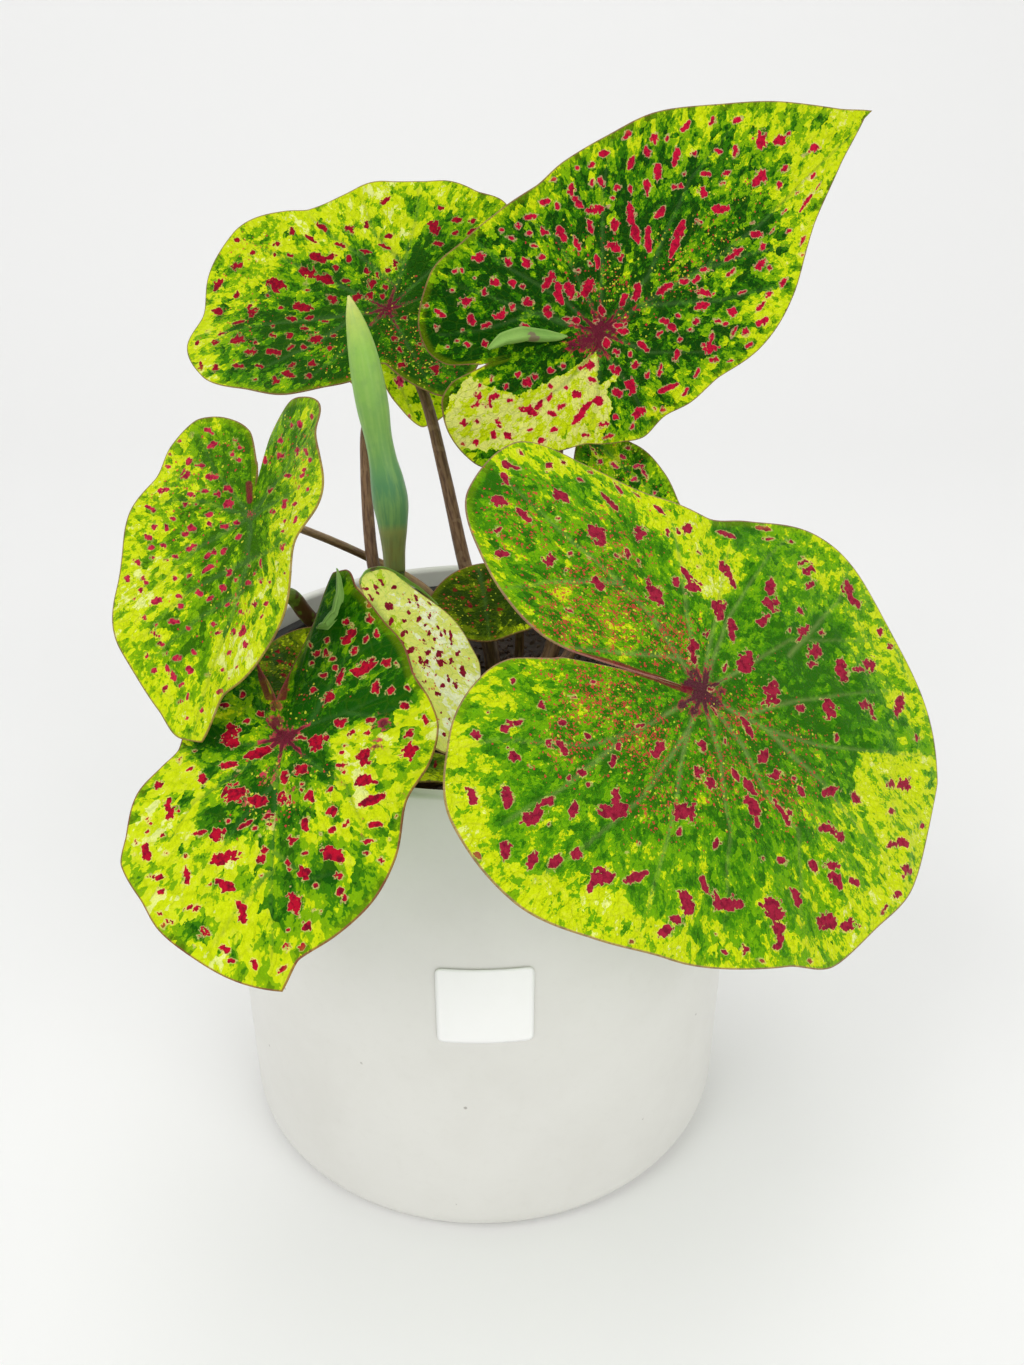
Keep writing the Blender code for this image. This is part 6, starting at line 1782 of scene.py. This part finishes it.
@dataclass
class Pots:
    """The cover pot with its blank label, the nursery pot inside it, and the tuber's skin."""

    height: float = 135.0
    radius: float = 70.0
    base_radius: float = 68.6
    wall: float = 3.5
    floor: float = 6.0
    heel: float = 8.0
    lip: float = 1.2
    sectors: int = 192
    label_size: tuple[float, float] = (23.0, 22.0)
    label_bottom: float = 67.0
    label_turn: float = 1.6
    label_corner: float = 1.6

    def outer(self, height: float) -> float:
        """Return the cover pot's outer radius at a height."""
        return self.base_radius + (self.radius - self.base_radius) * height / self.height

    def build(self) -> None:
        """Make the cover pot and the label, and dress the nursery pot and the tuber."""
        inner_top, inner_base = self.radius - self.wall, self.base_radius - self.wall
        bend, heel_x, lip_z = self.heel - self.wall, self.outer(self.heel) - self.heel, self.height - self.lip
        profile = [(0.0, self.floor), (20.0, self.floor), (45.0, self.floor)]
        profile += arc((inner_base - bend, self.floor + bend), bend, -90, 0, 8)
        profile += [(inner_base + (inner_top - inner_base) * z / 135.0, z) for z in range(20, 130, 10)]
        profile += arc((inner_top + self.lip, lip_z), self.lip, 180, 90, 6)
        profile += arc((self.radius - self.lip, lip_z), self.lip, 90, 0, 6)
        profile += [(self.outer(z), float(z)) for z in range(130, 10, -10)]
        profile += arc((heel_x, self.heel), self.heel, 0, -90, 12) + [(30.0, 0.0), (0.0, 0.0)]
        glaze = PlainFinish("cover_pot_glaze", paint(228, 227, 221), paint(212, 210, 202), 0.35, 0.03, 0.34,
                            0.07,
                            paint(120, 110, 100), 0.012).build()
        piece = turned_piece("cover_pot_body", profile, self.sectors, glaze)
        declare(piece, "cover_pot")
        self.label()
        plastic = PlainFinish("nursery_pot_plastic", paint(24, 24, 25), paint(52, 50, 48), 0.35, 0.12, 0.46,
                              0.06).build()
        skin = PlainFinish("tuber_skin", paint(96, 70, 44), paint(52, 36, 22), 0.8, 0.3, 0.8, 0.5).build()
        for node, finish in (("nursery_pot", plastic), ("tuber", skin)):
            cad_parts[node].data.materials.clear()
            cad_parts[node].data.materials.append(finish)
            LOG.info("%s: CAD node with the finish %s", node, finish.name)

    def label(self) -> bpy.types.Object:
        """Make the blank paper label, bent round the cover pot, with rounded corners."""
        wide, high = self.label_size
        count = 24
        rows, corner = np.linspace(-1.0, 1.0, count + 1), self.label_corner
        across, up = np.meshgrid(rows * wide / 2, rows * high / 2, indexing="ij")
        over_x = np.clip(np.abs(across) - (wide / 2 - corner), 0.0, None)
        over_y = np.clip(np.abs(up) - (high / 2 - corner), 0.0, None)
        reach = np.maximum(np.hypot(over_x, over_y) / corner, 1.0)
        across = np.sign(across) * (np.abs(across) - over_x + over_x / reach)
        up = np.sign(up) * (np.abs(up) - over_y + over_y / reach) + self.label_bottom + high / 2
        layers = []
        for lift in (0.42, 0.3):
            angle = -math.pi / 2 + math.radians(self.label_turn) + across / self.radius
            radius = self.base_radius + (self.radius - self.base_radius) * up / self.height + lift
            layers.append(np.stack([radius * np.cos(angle), radius * np.sin(angle), up], axis=-1).reshape(-1,
                                                                                                          3))
        size = count + 1
        numbers = np.arange(size * size).reshape(size, size)
        front = np.stack([numbers[:-1, :-1], numbers[1:, :-1], numbers[1:, 1:], numbers[:-1, 1:]],
                         axis=-1).reshape(-1, 4)
        faces = [tuple(face) for face in front.tolist()]
        faces += [tuple(reversed([number + size * size for number in face])) for face in front.tolist()]
        rim = [*numbers[:-1, 0], *numbers[-1, :-1], *numbers[:0:-1, -1], *numbers[0, :0:-1]]
        for first, second in zip(rim, rim[1:] + rim[:1]):
            faces.append((int(second), int(first), int(first) + size * size, int(second) + size * size))
        paper = PlainFinish("label_paper", paint(254, 254, 252), paint(250, 250, 247), 0.3, 0.2, 0.55,
                            0.02).build()
        piece = make_piece("blank_label", np.concatenate(layers), faces, (paper,))
        declare(piece, "label")
        return piece


@dataclass
class Soil:
    """The plug of soil, with small lumps scattered over its top."""

    edge_top: float = 120.0
    mound: float = 2.0
    bump: float = 0.8
    bump_scale: float = 0.11
    bump_slice: float = 3.7
    wide: float = 63.6
    pot_base: float = 50.0
    pot_floor: float = 6.0
    pot_top: float = 130.0
    wall: float = 1.8
    bottom: float = 8.2
    rings: int = 70
    sectors: int = 180
    lump_density: float = 150000.0
    seed: int = 7

    def radius(self, height: float) -> float:
        """Return the soil's radius inside the nursery pot at a height."""
        share = (height - self.pot_floor) / (self.pot_top - self.pot_floor)
        return self.pot_base + (self.wide - self.pot_base) * share - self.wall

    def lift(self, x: float, y: float, row: int) -> float:
        """Return how far a point of the top stands above the soil's edge."""
        if row >= self.rings:
            return 0.0
        share = math.hypot(x, y) / self.wide
        low = noise(Vector((x * self.bump_scale, y * self.bump_scale, self.bump_slice)))
        crumbs = fractal(Vector((x * 0.55, y * 0.55, 1.3)), 0.8, 2.0, 4)
        fade = min(1.0, (self.rings - row) / 4.0)
        return self.mound * (1.0 - share * share) + self.bump * low + 0.5 * crumbs * fade - 0.4

    def build(self) -> None:
        """Make the plug, and scatter its lumps with Geometry Nodes."""
        edge = self.radius(self.edge_top)
        profile = [(0.0, self.edge_top + self.mound - 0.4)]
        profile += [(edge * (ring + 1) / self.rings, self.edge_top) for ring in range(self.rings)]
        profile += [(self.radius(height), height) for height in (100.0, 60.0, 20.0)]
        profile += [(self.radius(self.bottom) - 1.5, self.bottom), (0.0, self.bottom)]
        earth = PlainFinish("soil_earth", paint(58, 44, 34), paint(24, 17, 12), 0.9, 0.35, 0.85, 0.5).build()
        plug = turned_piece("soil_plug", profile, self.sectors, earth, self.lift)
        lumps = self.scatter(plug, edge)
        declare(plug, "soil")
        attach(lumps, "root")
        LOG.info("%s: %d faces, on the soil", lumps.name, len(lumps.data.polygons))

    def scatter(self, plug: bpy.types.Object, edge: float) -> bpy.types.Object:
        """Return the lumps that lie on the soil's top as one plain mesh.

        Args:
            plug: the soil that they lie on.
            edge: the radius of its top in millimetres.
        """
        tree = bpy.data.node_groups.new("soil_lumps", "GeometryNodeTree")
        new = tree.interface.new_socket
        new("Geometry", in_out="INPUT", socket_type="NodeSocketGeometry")
        density = new("Density", in_out="INPUT", socket_type="NodeSocketFloat").identifier
        rim = new("Rim radius", in_out="INPUT", socket_type="NodeSocketFloat").identifier
        seed = new("Seed", in_out="INPUT", socket_type="NodeSocketInt").identifier
        skin = new("Skin", in_out="INPUT", socket_type="NodeSocketMaterial").identifier
        new("Geometry", in_out="OUTPUT", socket_type="NodeSocketGeometry")
        wire = Wiring(tree)
        given = wire.node("NodeGroupInput").outputs
        place = wire.node("ShaderNodeSeparateXYZ")
        wire.feed(place.inputs[0], wire.node("GeometryNodeInputPosition").outputs[0])
        span = wire.math("SQRT", wire.math("ADD", wire.times(place.outputs[0], place.outputs[0]),
                                           wire.times(place.outputs[1], place.outputs[1])))
        top = wire.times(wire.math("LESS_THAN", span, given["Rim radius"]),
                         wire.math("GREATER_THAN", place.outputs[2], 0.115))
        spread = wire.node("GeometryNodeDistributePointsOnFaces", distribute_method="RANDOM")
        wire.feed(spread.inputs["Mesh"], given["Geometry"])
        wire.feed(spread.inputs["Selection"], top)
        wire.feed(spread.inputs["Density"], given["Density"])
        wire.feed(spread.inputs["Seed"], given["Seed"])
        lump = wire.node("GeometryNodeMeshIcoSphere")
        lump.inputs["Radius"].default_value = 1.0
        lump.inputs["Subdivisions"].default_value = 1
        sizes = wire.node("FunctionNodeRandomValue", data_type="FLOAT_VECTOR")
        sizes.inputs["Min"].default_value = (0.00035, 0.0003, 0.00025)
        sizes.inputs["Max"].default_value = (0.0015, 0.0010, 0.0007)
        wire.feed(sizes.inputs["Seed"], given["Seed"])
        turns = wire.node("FunctionNodeRandomValue", data_type="FLOAT_VECTOR")
        turns.inputs["Max"].default_value = (6.28, 6.28, 6.28)
        wire.feed(turns.inputs["Seed"], wire.math("ADD", given["Seed"], 5.0))
        put = wire.node("GeometryNodeInstanceOnPoints")
        wire.feed(put.inputs["Points"], spread.outputs["Points"])
        wire.feed(put.inputs["Instance"], lump.outputs["Mesh"])
        wire.feed(put.inputs["Rotation"], turns.outputs[0])
        wire.feed(put.inputs["Scale"], sizes.outputs[0])
        real = wire.node("GeometryNodeRealizeInstances")
        wire.feed(real.inputs[0], put.outputs[0])
        dressed = wire.node("GeometryNodeSetMaterial")
        wire.feed(dressed.inputs["Geometry"], real.outputs[0])
        wire.feed(dressed.inputs["Material"], given["Skin"])
        wire.feed(wire.node("NodeGroupOutput").inputs[0], dressed.outputs[0])
        bits = PlainFinish("soil_bits", paint(84, 62, 44), paint(34, 24, 17), 0.9, 0.6, 0.85, 0.3).build()
        made = plug.modifiers.new("Lumps", "NODES")
        made.node_group = tree
        made[density], made[rim], made[seed], made[skin] = self.lump_density, (edge
                                                                               - 1.8) * MM, self.seed, bits
        mesh = bpy.data.meshes.new_from_object(plug.evaluated_get(bpy.context.evaluated_depsgraph_get()))
        plug.modifiers.remove(made)
        mesh.name = "soil_lumps"
        lumps = bpy.data.objects.new("soil_lumps", mesh)
        bpy.context.scene.collection.objects.link(lumps)
        return lumps


@dataclass
class Studio:
    """The pale floor that sweeps up behind the plant, and the soft lights."""

    front: float = -1.6
    bend_start: float = 0.7
    bend_radius: float = 0.7
    half_width: float = 2.6
    top: float = 2.4

    def build(self) -> None:
        """Make the floor, the lights and the even surround."""
        line = [(self.front, 0.0)] + [(self.bend_start + self.bend_radius * math.sin(a),
                                       self.bend_radius * (1 - math.cos(a)))
                                      for a in np.linspace(0.0, math.pi / 2, 24)]
        line.append((self.bend_start + self.bend_radius, self.top))
        points = [(side * self.half_width, y, z) for y, z in line for side in (-1.0, 1.0)]
        faces = [(2 * i, 2 * i + 1, 2 * i + 3, 2 * i + 2) for i in range(len(line) - 1)]
        make = Finish("floor_paper")
        place = make.place_mm()
        grain = make.noise(place, 0.02, 3.0)
        colour = make.blend(make.times(grain, 0.04), paint(246, 246, 245), paint(238, 238, 236))
        paper = make.dress(colour, 0.85)
        floor = make_piece("floor", np.array(points) / MM, faces, (paper,))
        self.lamp("key_light", (-1.3, -1.3, 1.8), (0.0, 0.0, 0.12), 1.2, 14.5)
        self.lamp("fill_light", (1.2, -1.5, 1.2), (0.0, 0.0, 0.12), 1.2, 11.0)
        self.lamp("top_light", (0.0, -0.1, 2.0), (0.0, 0.0, 0.1), 1.0, 6.0)
        world = bpy.data.worlds.new("surround")
        world.use_nodes = True
        world.node_tree.nodes["Background"].inputs["Color"].default_value = (1.0, 1.0, 1.0, 1.0)
        world.node_tree.nodes["Background"].inputs["Strength"].default_value = 0.6
        bpy.context.scene.world = world
        bpy.context.scene.view_settings.view_transform = "Standard"

    def lamp(self, name: str, place: tuple[float, float, float], target: tuple[float, float, float],
             size: float, watts: float) -> None:
        """Add one soft square light that points at a target."""
        data = bpy.data.lights.new(name, "AREA")
        data.energy, data.size = watts, size
        lamp = bpy.data.objects.new(name, data)
        lamp.location = place
        lamp.rotation_euler = (Vector(target) - Vector(place)).to_track_quat("-Z", "Y").to_euler()
        bpy.context.scene.collection.objects.link(lamp)


def main() -> None:
    """Build the camera, the stage and each part of the plant."""
    logging.basicConfig(level=logging.INFO, format="%(name)s: %(message)s")
    PICTURE.build()
    Studio().build()
    Pots().build()
    Soil().build()
    stalks = Stalks()
    for leaf in LEAVES:
        Blade(leaf).build()
        stalks.build_leaf(leaf)
    FlowerBud().build(stalks)


if __name__ == "__main__":
    main()
